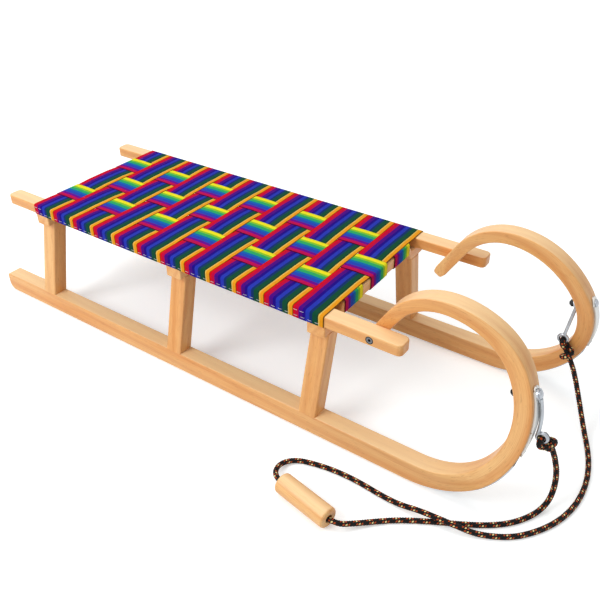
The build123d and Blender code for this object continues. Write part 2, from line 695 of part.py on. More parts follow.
def front_hanger():
    """A hanger in front of the horn: its rod follows the bend down to the ring."""
    y = horn_bolt_axis().position.Y
    radius = front_rod_radius()
    start = HORN_BOLT_ANGLE - math.degrees((DOME_RADIUS + SEAT_GAP) / radius)
    arc = Pos(0, y, 0) * side_arc(CROWN_X, HORN_CENTRE_Z, radius, start, FRONT_RING_ANGLE)
    shank = sweep(Plane(origin=arc @ 0, z_dir=arc % 0) * Circle(ROD_RADIUS), path=arc)
    return hanger_eye(SEAT_GAP) + shank + hanger_ring(-1)


def back_eye_middle():
    """The middle of the eye that seats inside the left horn."""
    depth = horn_bolt_depth(NECK_REACH) + EYE_THICKNESS / 2
    return (horn_bolt_axis() * Pos(0, 0, -depth)).position


def back_hanger():
    """A hanger behind the horn: a straight rod from under the nut to the ring."""
    eye_low = -horn_bolt_depth(NECK_REACH) - EYE_THICKNESS
    middle = eye_low + EYE_THICKNESS / 2 - BACK_ROD_INSET
    top = (horn_bolt_axis() * Pos(0, -BACK_ROD_START, middle)).position
    ring_middle = back_eye_middle() + Vector(-BACK_RING_SETBACK, 0, -BACK_RING_DROP)
    ring_top = ring_middle + (top - ring_middle).normalized() * RING_RADIUS
    return hanger_eye(eye_low) + rod(top, ring_top, ROD_RADIUS) + hanger_ring(1)


# ---------------------------------------------------------------- rope
def rope():
    """The rope, as straight runs joined by the widest arcs that they allow."""
    points = [Vector(*p) for p in ROPE_ROUTE]
    runs = [b - a for a, b in zip(points, points[1:])]
    radii = []
    for before, after in zip(runs, runs[1:]):
        turn = math.radians(before.get_angle(after))
        shorter = min(before.length, after.length)
        radii.append(ARC_SHARE * shorter / math.tan(turn / 2))
    path = FilletPolyline(*points, radius=radii)
    tube = sweep(Plane(origin=path @ 0, z_dir=path % 0) * Circle(ROPE_RADIUS), path=path)
    expected = math.pi * ROPE_RADIUS**2 * path.length
    print("rope length", round(path.length, 1), "tube volume over section times length",
          round(tube.volume / expected, 5))
    print("rope radii", [round(r) for r in radii])
    return tube


def rope_knot(side):
    """A knot round a hanger's ring, cut flat where the rope leaves it."""
    if side > 0:
        end, before = Vector(*ROPE_ROUTE[-1]), Vector(*ROPE_ROUTE[-2])
    else:
        end, before = Vector(*ROPE_ROUTE[0]), Vector(*ROPE_ROUTE[1])
    way = (before - end).normalized()
    beyond = Pos(0, 0, KNOT_FLAT + KNOT_RADIUS) * Box(*[2 * KNOT_RADIUS] * 3)
    ball = Plane(origin=end - way * KNOT_FLAT, z_dir=way).location * (Sphere(KNOT_RADIUS) - beyond)
    return ball - Pos(-MIDDLE_X, 0, 0) * mirrored(hanger_ring(side, RING_FIT), side)


def pull_handle():
    """The wooden grip that the rope runs through, where it lies on the ground."""
    body = Cylinder(HANDLE_RADIUS, HANDLE_LENGTH)
    body = fillet(body.edges(), HANDLE_EDGE)
    body -= Cylinder(HANDLE_BORE_RADIUS, 2 * HANDLE_LENGTH)
    rims = body.edges().filter_by(GeomType.CIRCLE)
    body = fillet(rims.filter_by(lambda e: abs(e.radius - HANDLE_BORE_RADIUS) < 0.01), HANDLE_BORE_EDGE)
    return Pos(HANDLE_X, HANDLE_Y, HANDLE_RADIUS) * Rot(0, 0, HANDLE_TURN) * Rot(0, 90, 0) * body


# ---------------------------------------------------------------- assembly
def sled_pieces():
    """Every piece of the sled by name, in the frame it is worked out in."""
    pieces = {}
    halves = {
        "runner": runner(),
        "runner_shoe": runner_shoe(),
        "horn_plate": horn_plate(),
        "seat_rail": seat_rail(),
        "rail_bolt": rail_bolt(),
    }
    for station, x in STATIONS.items():
        halves[f"{station}_leg"] = leg(x)
        pieces[f"{station}_crossbeam"] = crossbeam(x)
    for name, solid in halves.items():
        for side_name, side in SIDES.items():
            pieces[f"{side_name}_{name}"] = mirrored(solid, side)
    for side_name, side in SIDES.items():
        hanger = back_hanger() if side > 0 else front_hanger()
        pieces[f"{side_name}_rope_hanger"] = mirrored(hanger, side)
        pieces[f"{side_name}_horn_bolt"] = mirrored(horn_bolt(side), side)
    for number in range(STRAP_COUNT):
        pieces[f"cross_strap_{number + 1:02d}"] = cross_strap(number)
    for name, place in (("right", -1), ("middle", 0), ("left", 1)):
        pieces[f"{name}_long_strap"] = long_strap(place)
    return pieces


def main():
    os.makedirs("parts", exist_ok=True)
    pieces = {name: Pos(-MIDDLE_X, 0, 0) * solid for name, solid in sled_pieces().items()}
    pieces["pull_rope"] = rope()
    pieces["pull_handle"] = pull_handle()
    for side_name, side in SIDES.items():
        pieces[f"{side_name}_rope_knot"] = rope_knot(side)
    for name, solid in pieces.items():
        export_step(solid, f"parts/{name}.step")


main()
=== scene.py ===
"""Finishes for a wooden horn sled: beech, woven rainbow webbing, steel and a braided pull rope."""

import math

import bmesh
import bpy
from bpy.props import FloatProperty, FloatVectorProperty, IntProperty, PointerProperty
from mathutils import Matrix, Vector


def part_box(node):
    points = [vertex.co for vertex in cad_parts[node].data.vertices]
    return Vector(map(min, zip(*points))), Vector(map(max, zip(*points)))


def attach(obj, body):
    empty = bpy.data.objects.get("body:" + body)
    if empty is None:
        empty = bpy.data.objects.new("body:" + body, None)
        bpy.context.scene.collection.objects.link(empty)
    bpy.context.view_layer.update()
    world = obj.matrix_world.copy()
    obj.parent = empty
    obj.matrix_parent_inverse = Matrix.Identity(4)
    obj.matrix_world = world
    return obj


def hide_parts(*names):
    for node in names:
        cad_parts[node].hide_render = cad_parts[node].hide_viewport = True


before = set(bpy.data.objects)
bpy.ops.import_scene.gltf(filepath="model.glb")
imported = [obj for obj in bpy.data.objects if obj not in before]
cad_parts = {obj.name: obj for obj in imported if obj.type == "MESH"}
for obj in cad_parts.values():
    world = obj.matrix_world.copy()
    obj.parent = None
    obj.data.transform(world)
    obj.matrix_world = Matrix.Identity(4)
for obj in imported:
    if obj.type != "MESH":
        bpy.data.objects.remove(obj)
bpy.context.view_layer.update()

bl_info = {
    "name": "Wooden Horn Sled",
    "version": (1, 0, 0),
    "blender": (4, 5, 0),
    "location": "View3D > Sidebar > Sled",
    "description": "Builds the webbing, rope, small fittings and finishes of a wooden horn sled",
    "category": "Object",
}

MM = 0.001
SIDES = {"left": 1, "right": -1}
STATIONS = ("rear", "middle", "front")
CROSS_STRAPS = 12
SAME_PLACE = 0.01 * MM  # points nearer than this are one
ROUNDING_STEP = 15  # degrees between two cuts of a rounded end

# The rope's route from the right horn's ring, round through the grip and back
# to the left horn's ring.
ROPE_ROUTE = [
    (0.574, -0.119, 0.138), (0.581, -0.113, 0.122), (0.589, -0.107, 0.098),
    (0.597, -0.104, 0.066), (0.599, -0.107, 0.032), (0.5955, -0.117, 0.011),
    (0.586, -0.139, 0.004), (0.568, -0.168, 0.004), (0.544, -0.191, 0.004),
    (0.511, -0.212, 0.004), (0.466, -0.236, 0.004), (0.428, -0.259, 0.004),
    (0.402, -0.281, 0.005), (0.382, -0.303, 0.009), (0.3598, -0.3266, 0.015),
    (0.3192, -0.3193, 0.0156), (0.2798, -0.3122, 0.0151), (0.2392, -0.3049, 0.015),
    (0.2238, -0.2878, 0.012), (0.223, -0.2648, 0.007), (0.2372, -0.2467, 0.004),
    (0.262, -0.2387, 0.004), (0.295, -0.232, 0.004), (0.338, -0.230, 0.004),
    (0.384, -0.234, 0.004), (0.416, -0.235, 0.0055), (0.448, -0.2335, 0.013),
    (0.502, -0.229, 0.013), (0.530, -0.220, 0.0055), (0.556, -0.207, 0.004),
    (0.579, -0.191, 0.004), (0.599, -0.167, 0.004), (0.615, -0.140, 0.004),
    (0.626, -0.110, 0.004), (0.632, -0.076, 0.004), (0.6315, -0.036, 0.004),
    (0.624, 0.002, 0.004), (0.612, 0.037, 0.004), (0.594, 0.070, 0.011),
    (0.575, 0.095, 0.036), (0.557, 0.111, 0.068), (0.541, 0.120, 0.097),
    (0.527, 0.125, 0.113),
]

# Each knot: up beside the ring, through it, back under it and round the rope.
KNOT_ROUTES = {
    "right": [
        (0.574, -0.119, 0.138), (0.572, -0.1205, 0.1425), (0.5705, -0.1245, 0.1462),
        (0.570, -0.130, 0.1465), (0.5695, -0.1355, 0.1445), (0.5695, -0.138, 0.139),
        (0.571, -0.1365, 0.133), (0.5745, -0.131, 0.1295), (0.580, -0.1245, 0.1295),
        (0.5855, -0.1185, 0.1305), (0.5845, -0.1105, 0.130), (0.5775, -0.1075, 0.1275),
        (0.571, -0.1115, 0.1245), (0.572, -0.1185, 0.1215), (0.578, -0.1225, 0.1215),
        (0.5835, -0.1215, 0.1235),
    ],
    "left": [
        (0.527, 0.125, 0.113), (0.5245, 0.1262, 0.1162), (0.520, 0.1225, 0.1215),
        (0.517, 0.1235, 0.128), (0.516, 0.130, 0.1308), (0.516, 0.1365, 0.1275),
        (0.519, 0.138, 0.121), (0.5245, 0.1355, 0.1155), (0.532, 0.132, 0.1145),
        (0.5365, 0.1255, 0.1135), (0.5345, 0.1185, 0.1105), (0.5275, 0.1155, 0.106),
        (0.5225, 0.1195, 0.1025), (0.5245, 0.1265, 0.101), (0.5305, 0.1315, 0.1025),
        (0.5365, 0.1345, 0.1065),
    ],
}


def shade(code):
    """The linear colour of a six-letter colour code."""
    parts = [int(code[i : i + 2], 16) / 255 for i in (0, 2, 4)]
    return [c / 12.92 if c <= 0.04045 else ((c + 0.055) / 1.055) ** 2.4 for c in parts]


def colour(name, description, code):
    return FloatVectorProperty(
        name=name, description=description, default=shade(code), subtype="COLOR", min=0, max=1
    )


def length(name, description, millimetres):
    return FloatProperty(
        name=name, description=description, default=millimetres * MM, unit="LENGTH", precision=4
    )


def box_middle(node_name):
    low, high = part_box(node_name)
    return (low + high) / 2


# ---------------------------------------------------------------- settings
class SledWood(bpy.types.PropertyGroup):
    pale: colour("Pale Wood", "Colour of the palest bands of the beech", "F2C384")
    body: colour("Body Wood", "Main colour of the beech", "E6A25A")
    warm: colour("Warm Grain", "Colour of the darker grain lines", "C8702E")
    # painted highlight: the pale colour that upward faces are painted towards
    painted_top_highlight: colour("Painted Top Highlight", "Colour towards which the upper faces have paled", "FFE3B2")
    bend_x: length("Bend Centre X", "Middle of the horns' bend along the sled", 408)
    bend_z: length("Bend Centre Z", "Height of the middle of the horns' bend", 164)
    leg_width: length("Leg Width", "Width of a leg's blank across the sled", 28)
    leg_wider: length("Leg Wider", "How much stouter a leg is than its blank, across", 3)
    leg_deeper: length("Leg Deeper", "How much stouter a leg is than its blank, along", 4)
    leg_rake: length("Leg Rake", "How far a leg's foot stands behind its head", 4)
    tenon_length: length("Tenon Length", "Length of a leg's tenons along the sled", 22.2)
    tenon_width: length("Tenon Width", "Width of a leg's tenons across the sled", 16.2)
    lean_foot: length("Lean Foot", "Height at which the horns begin to lean inward", 65)
    lean_head: length("Lean Head", "Height at which the horns stand upright again", 263)
    lean_reach: length("Lean Reach", "How far the horns lean inward", 50.4)
    tip_turn: FloatProperty(
        name="Tip Turn", description="How steeply a horn's tip points down, in degrees", default=58
    )
    tip_cut: length("Tip Cut", "How much shorter a horn's tip is than its blank", 9.5)
    tip_rounding: length("Tip Rounding", "Radius of the corners of a horn's tip", 5)


class SledWebbing(bpy.types.PropertyGroup):
    thickness: length("Thickness", "Thickness of the webbing", 1.4)
    overlap: length("Overlap", "How far each cross strap lies on its neighbours", 0.4)
    tuck: length("Tuck", "How much lower every second cross strap lies", 0.12)
    long_width: length("Long Strap Width", "Width of a strap that goes along the seat", 54)
    cross_rise: length("Cross Rise", "Rise and fall of a cross strap in the weave", 0.85)
    long_dip: length("Long Dip", "Rise and fall of a long strap in the weave", 0.75)
    sag: length("Sag", "How far the seat has settled between two crossbeams", 2.5)
    thread: length("Thread Spacing", "Distance between the ribs of the weave", 1.5)
    red: colour("Red", "Rear stripe of a cross strap", "DA0014")
    crimson: colour("Crimson", "Crimson stripe", "C0003C")
    plum: colour("Plum", "Dark purple stripe", "4C0080")
    indigo: colour("Indigo", "Indigo stripe", "1E0084")
    blue: colour("Blue", "Blue stripe", "2636B0")
    teal: colour("Teal", "Dark teal stripe", "0C2E68")
    green: colour("Green", "Dark green stripe", "0A4A32")
    olive: colour("Olive", "Thin dark line beside the gold", "142A08")
    straw: colour("Straw", "Thin pale yellow line beside the gold", "E4C05C")
    gold: colour("Gold", "Front stripe of a cross strap", "EE9C1C")
    magenta: colour("Magenta", "Right stripe of a long strap", "BC0450")
    violet: colour("Violet", "Violet stripe of a long strap", "66048E")
    bright_blue: colour("Bright Blue", "Blue stripe of a long strap", "2444B4")
    cyan: colour("Cyan", "Cyan stripe of a long strap", "0A66AC")
    mint: colour("Mint", "Blue-green stripe of a long strap", "2CA664")
    lime: colour("Lime", "Lime stripe of a long strap", "84C42C")
    lemon: colour("Lemon", "Left stripe of a long strap", "F0E424")
    stitch: colour("Stitch", "Colour of the sewing thread", "CFCBD0")
    stitch_length: length("Stitch Length", "Length of one stitch", 7.0)
    stitch_gap: length("Stitch Gap", "Distance between two stitches", 4.6)


class SledSteel(bpy.types.PropertyGroup):
    bright: colour("Bright Steel", "Colour of the zinc-plated steel", "B8BCC2")
    crown_x: length("Crown Centre X", "Middle of the horns' crown along the sled", 413)
    crown_z: length("Crown Centre Z", "Height of the middle of the horns' crown", 165)
    bend_radius: length("Bend Radius", "Radius of a horn's front with its plate", 166)
    # painted shade: a rail bolt is black inside socket_radius for the shade in its socket, and outside
    # head_radius for the shadow in the gap round its head
    socket_radius: length("Socket Radius", "Radius of the dark socket in a rail bolt", 2.4)
    head_radius: length("Head Radius", "Radius inside the dark rim round a rail bolt", 5.2)
    # the horn bolts are painted black nearer the crown's middle than this, over their nuts and inner
    # ends
    nut_reach: length("Nut Reach", "From the crown's middle, how far the nuts are black", 128)
    horn_width: length("Horn Width", "Width of a runner and its horn", 31)
    lean: FloatProperty(
        name="Lean", description="How far a horn leans inward for its height", default=0.2545
    )
    bolt_angle: FloatProperty(
        name="Bolt Angle", description="Place of the horn's bolt, in degrees above its front",
        default=20,
    )
    plate_end: length("Plate End", "From the bolt to the upper end of the plate", 12)
    plate_rounding: length("Plate Rounding", "Radius of the ends of the plate", 9)
    bolt_recess: length("Bolt Recess", "How far a rail bolt ends below the horn's face", 1.2)
    plug_radius: length("Plug Radius", "Radius of the wood plug over a rail bolt's end", 3.15)
    plug_rise: length("Plug Rise", "How far a plug stands out of the horn", 0.15)
    screw_radius: length("Screw Radius", "Radius of a wood screw's head", 3.4)
    screw_rise: length("Screw Rise", "How far a screw's head stands proud", 0.5)
    shoe_pitch: length("Shoe Screw Pitch", "Distance between two screws of a shoe", 230)
    shoe_inset: length("Shoe Screw Inset", "From the shoe's end to its first screw", 18)
    shoe_width: length("Shoe Width", "Width of a shoe", 22)


class SledRope(bpy.types.PropertyGroup):
    diameter: length("Diameter", "Diameter of the rope", 8)
    plait: length("Plait", "Length along the rope in which a strand goes round it once", 20)
    strands: IntProperty(
        name="Strands", description="Strands that go round each way", default=5, min=3, max=12
    )
    black: colour("Black Yarn", "Main colour of the rope", "0C0909")
    yellow: colour("Yellow Yarn", "Colour of the pale flecks", "FFE6A0")
    red: colour("Red Yarn", "Colour of the orange-red flecks", "C4501E")


class SledStage(bpy.types.PropertyGroup):
    camera_place: FloatVectorProperty(
        name="Camera Place", description="Where the camera stands",
        default=(0.7138, -0.906, 0.8599), subtype="XYZ", unit="LENGTH",
    )
    camera_turn: FloatVectorProperty(
        name="Camera Turn", description="Compass angle, height angle and roll of the camera",
        default=[math.radians(a) for a in (35.36, 33.94, -0.63)], unit="ROTATION",
    )
    lens: FloatProperty(
        name="Lens", description="Focal length in millimetres", default=43.22, min=10, max=300
    )
    floor: colour("Floor", "Colour of the floor", "F0F4F5")
    glow: FloatProperty(
        name="Floor Glow", description="How far the floor is lifted towards white where it is seen",
        default=0.36, min=0, max=1,
    )
    sky: FloatProperty(name="Sky", description="Light from all round", default=0.45, min=0)
    key: FloatProperty(name="Key Lamp", description="Power of the side lamp", default=44, min=0)
    top: FloatProperty(name="Top Lamp", description="Power of the top lamp", default=24, min=0)


class SledSettings(bpy.types.PropertyGroup):
    wood: PointerProperty(type=SledWood)
    webbing: PointerProperty(type=SledWebbing)
    steel: PointerProperty(type=SledSteel)
    rope: PointerProperty(type=SledRope)
    stage: PointerProperty(type=SledStage)


# ---------------------------------------------------------------- node helpers
def node(tree, kind, inputs=(), **settings):
    """Adds a node. An input's value is a plain value or the output that feeds it."""
    made = tree.nodes.new(kind)
    for name, value in settings.items():
        setattr(made, name, value)
    for key, value in dict(inputs).items():
        if isinstance(value, bpy.types.NodeSocket):
            tree.links.new(value, made.inputs[key])
        else:
            made.inputs[key].default_value = value
    return made


def calc(tree, operation, *values):
    return node(tree, "ShaderNodeMath", enumerate(values), operation=operation).outputs[0]


def vector_calc(tree, operation, *values):
    made = node(tree, "ShaderNodeVectorMath", enumerate(values), operation=operation)
    return made.outputs["Vector"]


def scaled(tree, vector, factor):
    made = node(tree, "ShaderNodeVectorMath", {"Vector": vector, "Scale": factor}, operation="SCALE")
    return made.outputs["Vector"]


def joined(tree, x=0.0, y=0.0, z=0.0):
    return node(tree, "ShaderNodeCombineXYZ", {"X": x, "Y": y, "Z": z}).outputs[0]


def blended(tree, factor, first, second):
    """A colour between two others. A plain colour is three numbers."""
    ends = [c if isinstance(c, bpy.types.NodeSocket) else (*c, 1) for c in (first, second)]
    inputs = dict(zip((0, 6, 7), (factor, *ends)))
    return node(tree, "ShaderNodeMix", inputs, data_type="RGBA").outputs[2]


def noise(tree, place, stretch, detail):
    """Noise whose features have a size of their own along each axis."""
    at = vector_calc(tree, "MULTIPLY", place, stretch)
    inputs = {"Vector": at, "Scale": 1.0, "Detail": detail}
    return node(tree, "ShaderNodeTexNoise", inputs).outputs["Fac"]


def levels(tree, value, low, high, to_low=0.0, to_high=1.0):
    made = node(
        tree, "ShaderNodeMapRange",
        {"Value": value, "From Min": low, "From Max": high, "To Min": to_low, "To Max": to_high},
    )
    return made.outputs["Result"]


def new_group(name, kind, inputs, outputs):
    tree = bpy.data.node_groups.new(name, kind)
    for in_out, sockets in (("INPUT", inputs), ("OUTPUT", outputs)):
        for socket_name, socket_type in sockets:
            tree.interface.new_socket(socket_name, in_out=in_out, socket_type=socket_type)
    return tree


def new_material(name, **shader_values):
    """A material and its shader, with the values that are even all over set on it."""
    material = bpy.data.materials.new(name)
    material.use_nodes = True
    tree = material.node_tree
    shader = tree.nodes["Principled BSDF"]
    for key, value in shader_values.items():
        shader.inputs[key.replace("_", " ")].default_value = value
    return material, tree, shader


def feed(tree, shader, base=None, roughness=None, height=None, depth=0.0002, strength=0.5):
    """Joins a colour, a roughness and a relief to a shader."""
    if base is not None:
        tree.links.new(base, shader.inputs["Base Color"])
    if roughness is not None:
        tree.links.new(roughness, shader.inputs["Roughness"])
    if height is not None:
        bump = node(
            tree, "ShaderNodeBump", {"Height": height, "Distance": depth, "Strength": strength}
        )
        tree.links.new(bump.outputs["Normal"], shader.inputs["Normal"])


def geometry_tree(name, *inputs):
    """A Geometry Nodes tree and its inputs, each given by its name and its kind."""
    sockets = [("Geometry", "NodeSocketGeometry")]
    sockets += [(label, "NodeSocket" + kind) for label, kind in inputs]
    tree = new_group(name, "GeometryNodeTree", sockets, sockets[:1])
    return tree, node(tree, "NodeGroupInput").outputs


def together(tree, *parts):
    """Several geometries as one."""
    group = node(tree, "GeometryNodeJoinGeometry")
    for part in parts:
        tree.links.new(part, group.inputs[0])
    return group.outputs[0]


def finish_tree(tree, geometry, material, smooth=True):
    """Ends a Geometry Nodes tree in a plain mesh of one finish."""
    if smooth:
        shaded = node(tree, "GeometryNodeSetShadeSmooth", {"Geometry": geometry})
        geometry = shaded.outputs[0]
    real = node(tree, "GeometryNodeRealizeInstances", {"Geometry": geometry})
    done = node(
        tree, "GeometryNodeSetMaterial", {"Geometry": real.outputs[0], "Material": material}
    )
    node(tree, "NodeGroupOutput", {"Geometry": done.outputs[0]})
    return tree


def set_inputs(modifier, **values):
    """Sets a Geometry Nodes modifier's inputs by name, through the sockets' identifiers."""
    for item in modifier.node_group.interface.items_tree:
        if item.item_type == "SOCKET" and item.in_out == "INPUT":
            key = item.name.lower().replace(" ", "_")
            if key in values:
                modifier[item.identifier] = values[key]


# ---------------------------------------------------------------- mesh helpers
def add_object(name, data):
    made = bpy.data.objects.new(name, data)
    bpy.context.scene.collection.objects.link(made)
    return made


def plain_object(name, points, edges=(), faces=()):
    mesh = bpy.data.meshes.new(name)
    mesh.from_pydata(points, edges, faces)
    return add_object(name, mesh)


def set_down(name, source):
    """Replaces an object with live modifiers by a plain mesh object of that name."""
    bpy.context.view_layer.update()
    graph = bpy.context.evaluated_depsgraph_get()
    mesh = bpy.data.meshes.new_from_object(source.evaluated_get(graph), depsgraph=graph)
    bpy.data.objects.remove(source)
    mesh.name = name
    return add_object(name, mesh)


def finish_cad_pieces(finishes):
    """Gives each CAD piece the finish whose key its name ends in."""
    for name, cad_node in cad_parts.items():
        for end, finish in finishes.items():
            if name.endswith(end):
                cad_node.data.materials.clear()
                cad_node.data.materials.append(finish)


def keep_piece(piece, slot, *stood_for):
    """Fixes a finished piece to the sled."""
    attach(piece, "root")
    if stood_for:
        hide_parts(*stood_for)
    return piece


def line_points(route):
    """Points along the smooth line that a route's points pull."""
    curve = bpy.data.curves.new("route", "CURVE")
    curve.dimensions = "3D"
    curve.resolution_u = 10
    spline = curve.splines.new("NURBS")
    spline.points.add(len(route) - 1)
    for point, place in zip(spline.points, route):
        point.co = (*place, 1)
    spline.order_u = 3
    spline.use_endpoint_u = True
    bare = add_object("route", curve)
    mesh = bpy.data.meshes.new_from_object(bare)
    points = [v.co.copy() for v in mesh.vertices]
    bpy.data.objects.remove(bare)
    return points, mesh


def rounded_line(corners, radii, step):
    """Points along a bent line in a plane, with round corners, about a step apart."""
    corners = [Vector(c) for c in corners]
    line = [corners[0]]
    for before, corner, after, radius in zip(corners, corners[1:], corners[2:], radii):
        way_in, way_out = (corner - before).normalized(), (after - corner).normalized()
        turn = way_in.angle_signed(way_out)
        if abs(turn) < 1e-4:
            line.append(corner)
            continue
        start = corner - way_in * radius * math.tan(abs(turn) / 2)
        inward = Vector((-way_in.y, way_in.x)) * (-1 if turn > 0 else 1)
        centre = start + inward * radius
        parts = max(2, math.ceil(abs(math.degrees(turn)) / 18))
        for i in range(parts + 1):
            line.append(centre + Matrix.Rotation(-turn * i / parts, 2) @ (start - centre))
    line.append(corners[-1])
    points = [line[0]]
    for a, b in zip(line, line[1:]):
        parts = max(1, round((b - a).length / step))
        points += [a.lerp(b, (i + 1) / parts) for i in range(parts)]
    return points


def merged_copy(cad_name):
    """A copy of a CAD piece's mesh, merged and open for cutting."""
    build = bmesh.new()
    build.from_mesh(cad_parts[cad_name].data)
    bmesh.ops.remove_doubles(build, verts=build.verts, dist=SAME_PLACE)
    return build


def split(build, faces, place, outward, clear=True):
    """Splits faces along a plane and, if told so, removes what lies outward of it."""
    # each once and always in the same order, so that every run cuts alike
    edges = dict.fromkeys(edge for face in faces for edge in face.edges)
    verts = dict.fromkeys(vert for face in faces for vert in face.verts)
    bmesh.ops.bisect_plane(
        build, geom=[*verts, *edges, *faces], plane_co=place, plane_no=outward,
        clear_outer=clear, dist=SAME_PLACE / 10,
    )


def cut_away(build, faces, place, outward):
    """Cuts off what lies outward of a plane and closes the cut."""
    split(build, faces, place, outward)
    rim = [
        edge for edge in build.edges
        if edge.is_boundary
        and all(abs((v.co - place).dot(outward)) < SAME_PLACE for v in edge.verts)
    ]
    bmesh.ops.holes_fill(build, edges=rim, sides=0)


def solid_piece(name, build, finish, slot, cad_name):
    """Ends the work on a copy of a CAD piece and lets it stand for that piece."""
    mesh = bpy.data.meshes.new(name)
    bmesh.ops.triangulate(build, faces=build.faces)
    build.to_mesh(mesh)
    build.free()
    mesh.materials.append(bpy.data.materials[finish])
    return keep_piece(add_object(name, mesh), slot, cad_name)


def shade_faces(build):
    """Shades rounded edges smooth and leaves sharp ones sharp."""
    for face in build.faces:
        face.smooth = True
    for edge in build.edges:
        edge.smooth = edge.is_manifold and edge.calc_face_angle() < math.radians(30)


# ---------------------------------------------------------------- wood
def make_grain(wood):
    """Beech colour, gloss and relief, from a place whose X runs along the grain, with a painted
    highlight that pales what faces upward.
    """
    tree = new_group(
        "beech_grain", "ShaderNodeTree", [("Place", "NodeSocketVector"), ("Upward", "NodeSocketFloat")],
        [("Colour", "NodeSocketColor"), ("Roughness", "NodeSocketFloat"),
         ("Height", "NodeSocketFloat")],
    )
    place, upward = node(tree, "NodeGroupInput").outputs[:2]
    broad = levels(tree, noise(tree, place, (2.2, 26, 26), 3), 0.32, 0.70)
    bands = node(
        tree, "ShaderNodeTexWave",
        {"Vector": vector_calc(tree, "MULTIPLY", place, (1.6, 34, 27)), "Scale": 1.0,
         "Distortion": 2.6, "Detail": 2.0, "Detail Scale": 0.6},
        bands_direction="DIAGONAL",
    ).outputs["Fac"]
    fibre = noise(tree, place, (14, 950, 950), 3)
    fleck = levels(tree, noise(tree, place, (75, 620, 620), 1), 0.64, 0.74)
    colour_now = blended(tree, broad, wood.body[:], wood.pale[:])
    lines = calc(tree, "MULTIPLY", levels(tree, bands, 0.35, 1.0), 0.26)
    colour_now = blended(tree, lines, colour_now, wood.warm[:])
    streaks = calc(tree, "MULTIPLY", levels(tree, fibre, 0.42, 0.75), 0.42)
    colour_now = blended(tree, streaks, colour_now, wood.warm[:])
    colour_now = blended(
        tree, calc(tree, "MULTIPLY", fleck, 0.30), colour_now, [c * 0.55 for c in wood.warm]
    )
    # painted highlight: what faces upward is painted paler than the edges, standing in for the light
    # from above
    painted_top_highlight = calc(tree, "MULTIPLY", levels(tree, upward, 0.6, 1.0), 0.55)
    colour_now = blended(tree, painted_top_highlight, colour_now, wood.painted_top_highlight[:])
    rough = levels(tree, fibre, 0.3, 0.7, 0.34, 0.46)
    height = calc(tree, "SUBTRACT", fibre, calc(tree, "MULTIPLY", fleck, 0.5))
    node(tree, "NodeGroupOutput", {"Colour": colour_now, "Roughness": rough, "Height": height})
    return tree


BEND_MIDDLE = 0.15  # radius along which the grain is measured round a horn
TIP_LEVEL = 130 * MM  # the horns' tips lie above this height and the runners below


def bent_place(tree, place, wood):
    """A place whose X follows a runner along the ground and round its horn."""
    x, y, z = node(tree, "ShaderNodeSeparateXYZ", {"Vector": place}).outputs
    ahead = calc(tree, "SUBTRACT", x, wood.bend_x)
    above = calc(tree, "SUBTRACT", z, wood.bend_z)
    # 1 on the bend and 0 on the straight part that lies behind and below it
    on_bend = calc(
        tree, "MAXIMUM", calc(tree, "GREATER_THAN", ahead, 0), calc(tree, "GREATER_THAN", above, 0)
    )
    away = calc(
        tree, "SQRT",
        calc(tree, "ADD", calc(tree, "POWER", ahead, 2), calc(tree, "MULTIPLY", above, above)),
    )
    turned = calc(tree, "ARCTAN2", ahead, calc(tree, "MULTIPLY", above, -1))
    full = calc(tree, "ADD", turned, calc(
        tree, "MULTIPLY", calc(tree, "LESS_THAN", turned, 0), 2 * math.pi))
    round_bend = calc(tree, "MULTIPLY", full, BEND_MIDDLE)
    depth = calc(tree, "SUBTRACT", wood.bend_z, away)
    along = node(tree, "ShaderNodeMix", {"Factor": on_bend, "A": ahead, "B": round_bend})
    across = node(tree, "ShaderNodeMix", {"Factor": on_bend, "A": z, "B": depth})
    lean = levels(tree, z, wood.lean_foot, wood.lean_head, 0.0, wood.lean_reach)
    side = calc(tree, "MULTIPLY", calc(tree, "SIGN", y), lean)
    return joined(tree, along.outputs[0], calc(tree, "ADD", y, side), across.outputs[0])


def make_wood(name, grain, place_for):
    """A wood finish. place_for turns Object coordinates so that X follows the grain."""
    material, tree, shader = new_material(
        name, Coat_Weight=0.12, Coat_Roughness=0.25, Specular_IOR_Level=0.3
    )
    place = node(tree, "ShaderNodeTexCoord").outputs["Object"]
    look = node(tree, "ShaderNodeGroup", {}, node_tree=grain)
    tree.links.new(place_for(tree, place), look.inputs["Place"])
    # the normal's height sets where the painted highlight on upward faces goes
    facing = node(tree, "ShaderNodeNewGeometry").outputs["Normal"]
    tree.links.new(
        node(tree, "ShaderNodeSeparateXYZ", {"Vector": facing}).outputs["Z"], look.inputs["Upward"]
    )
    out = look.outputs
    feed(tree, shader, out["Colour"], out["Roughness"], out["Height"], 0.00012, 0.35)
    return material


def leaning_place(lean):
    """A rule for legs that lean inward: X runs up a leg on either side."""
    def rule(tree, place):
        x, y, z = node(tree, "ShaderNodeSeparateXYZ", {"Vector": place}).outputs
        outward = calc(tree, "ADD", calc(tree, "ABSOLUTE", y), calc(tree, "MULTIPLY", z, lean))
        return joined(tree, z, x, outward)
    return rule


def turned_place(turn):
    """A rule that turns a place by Euler angles."""
    def rule(tree, place):
        made = node(
            tree, "ShaderNodeMapping", {"Vector": place, "Rotation": turn}, vector_type="POINT"
        )
        return made.outputs["Vector"]
    return rule


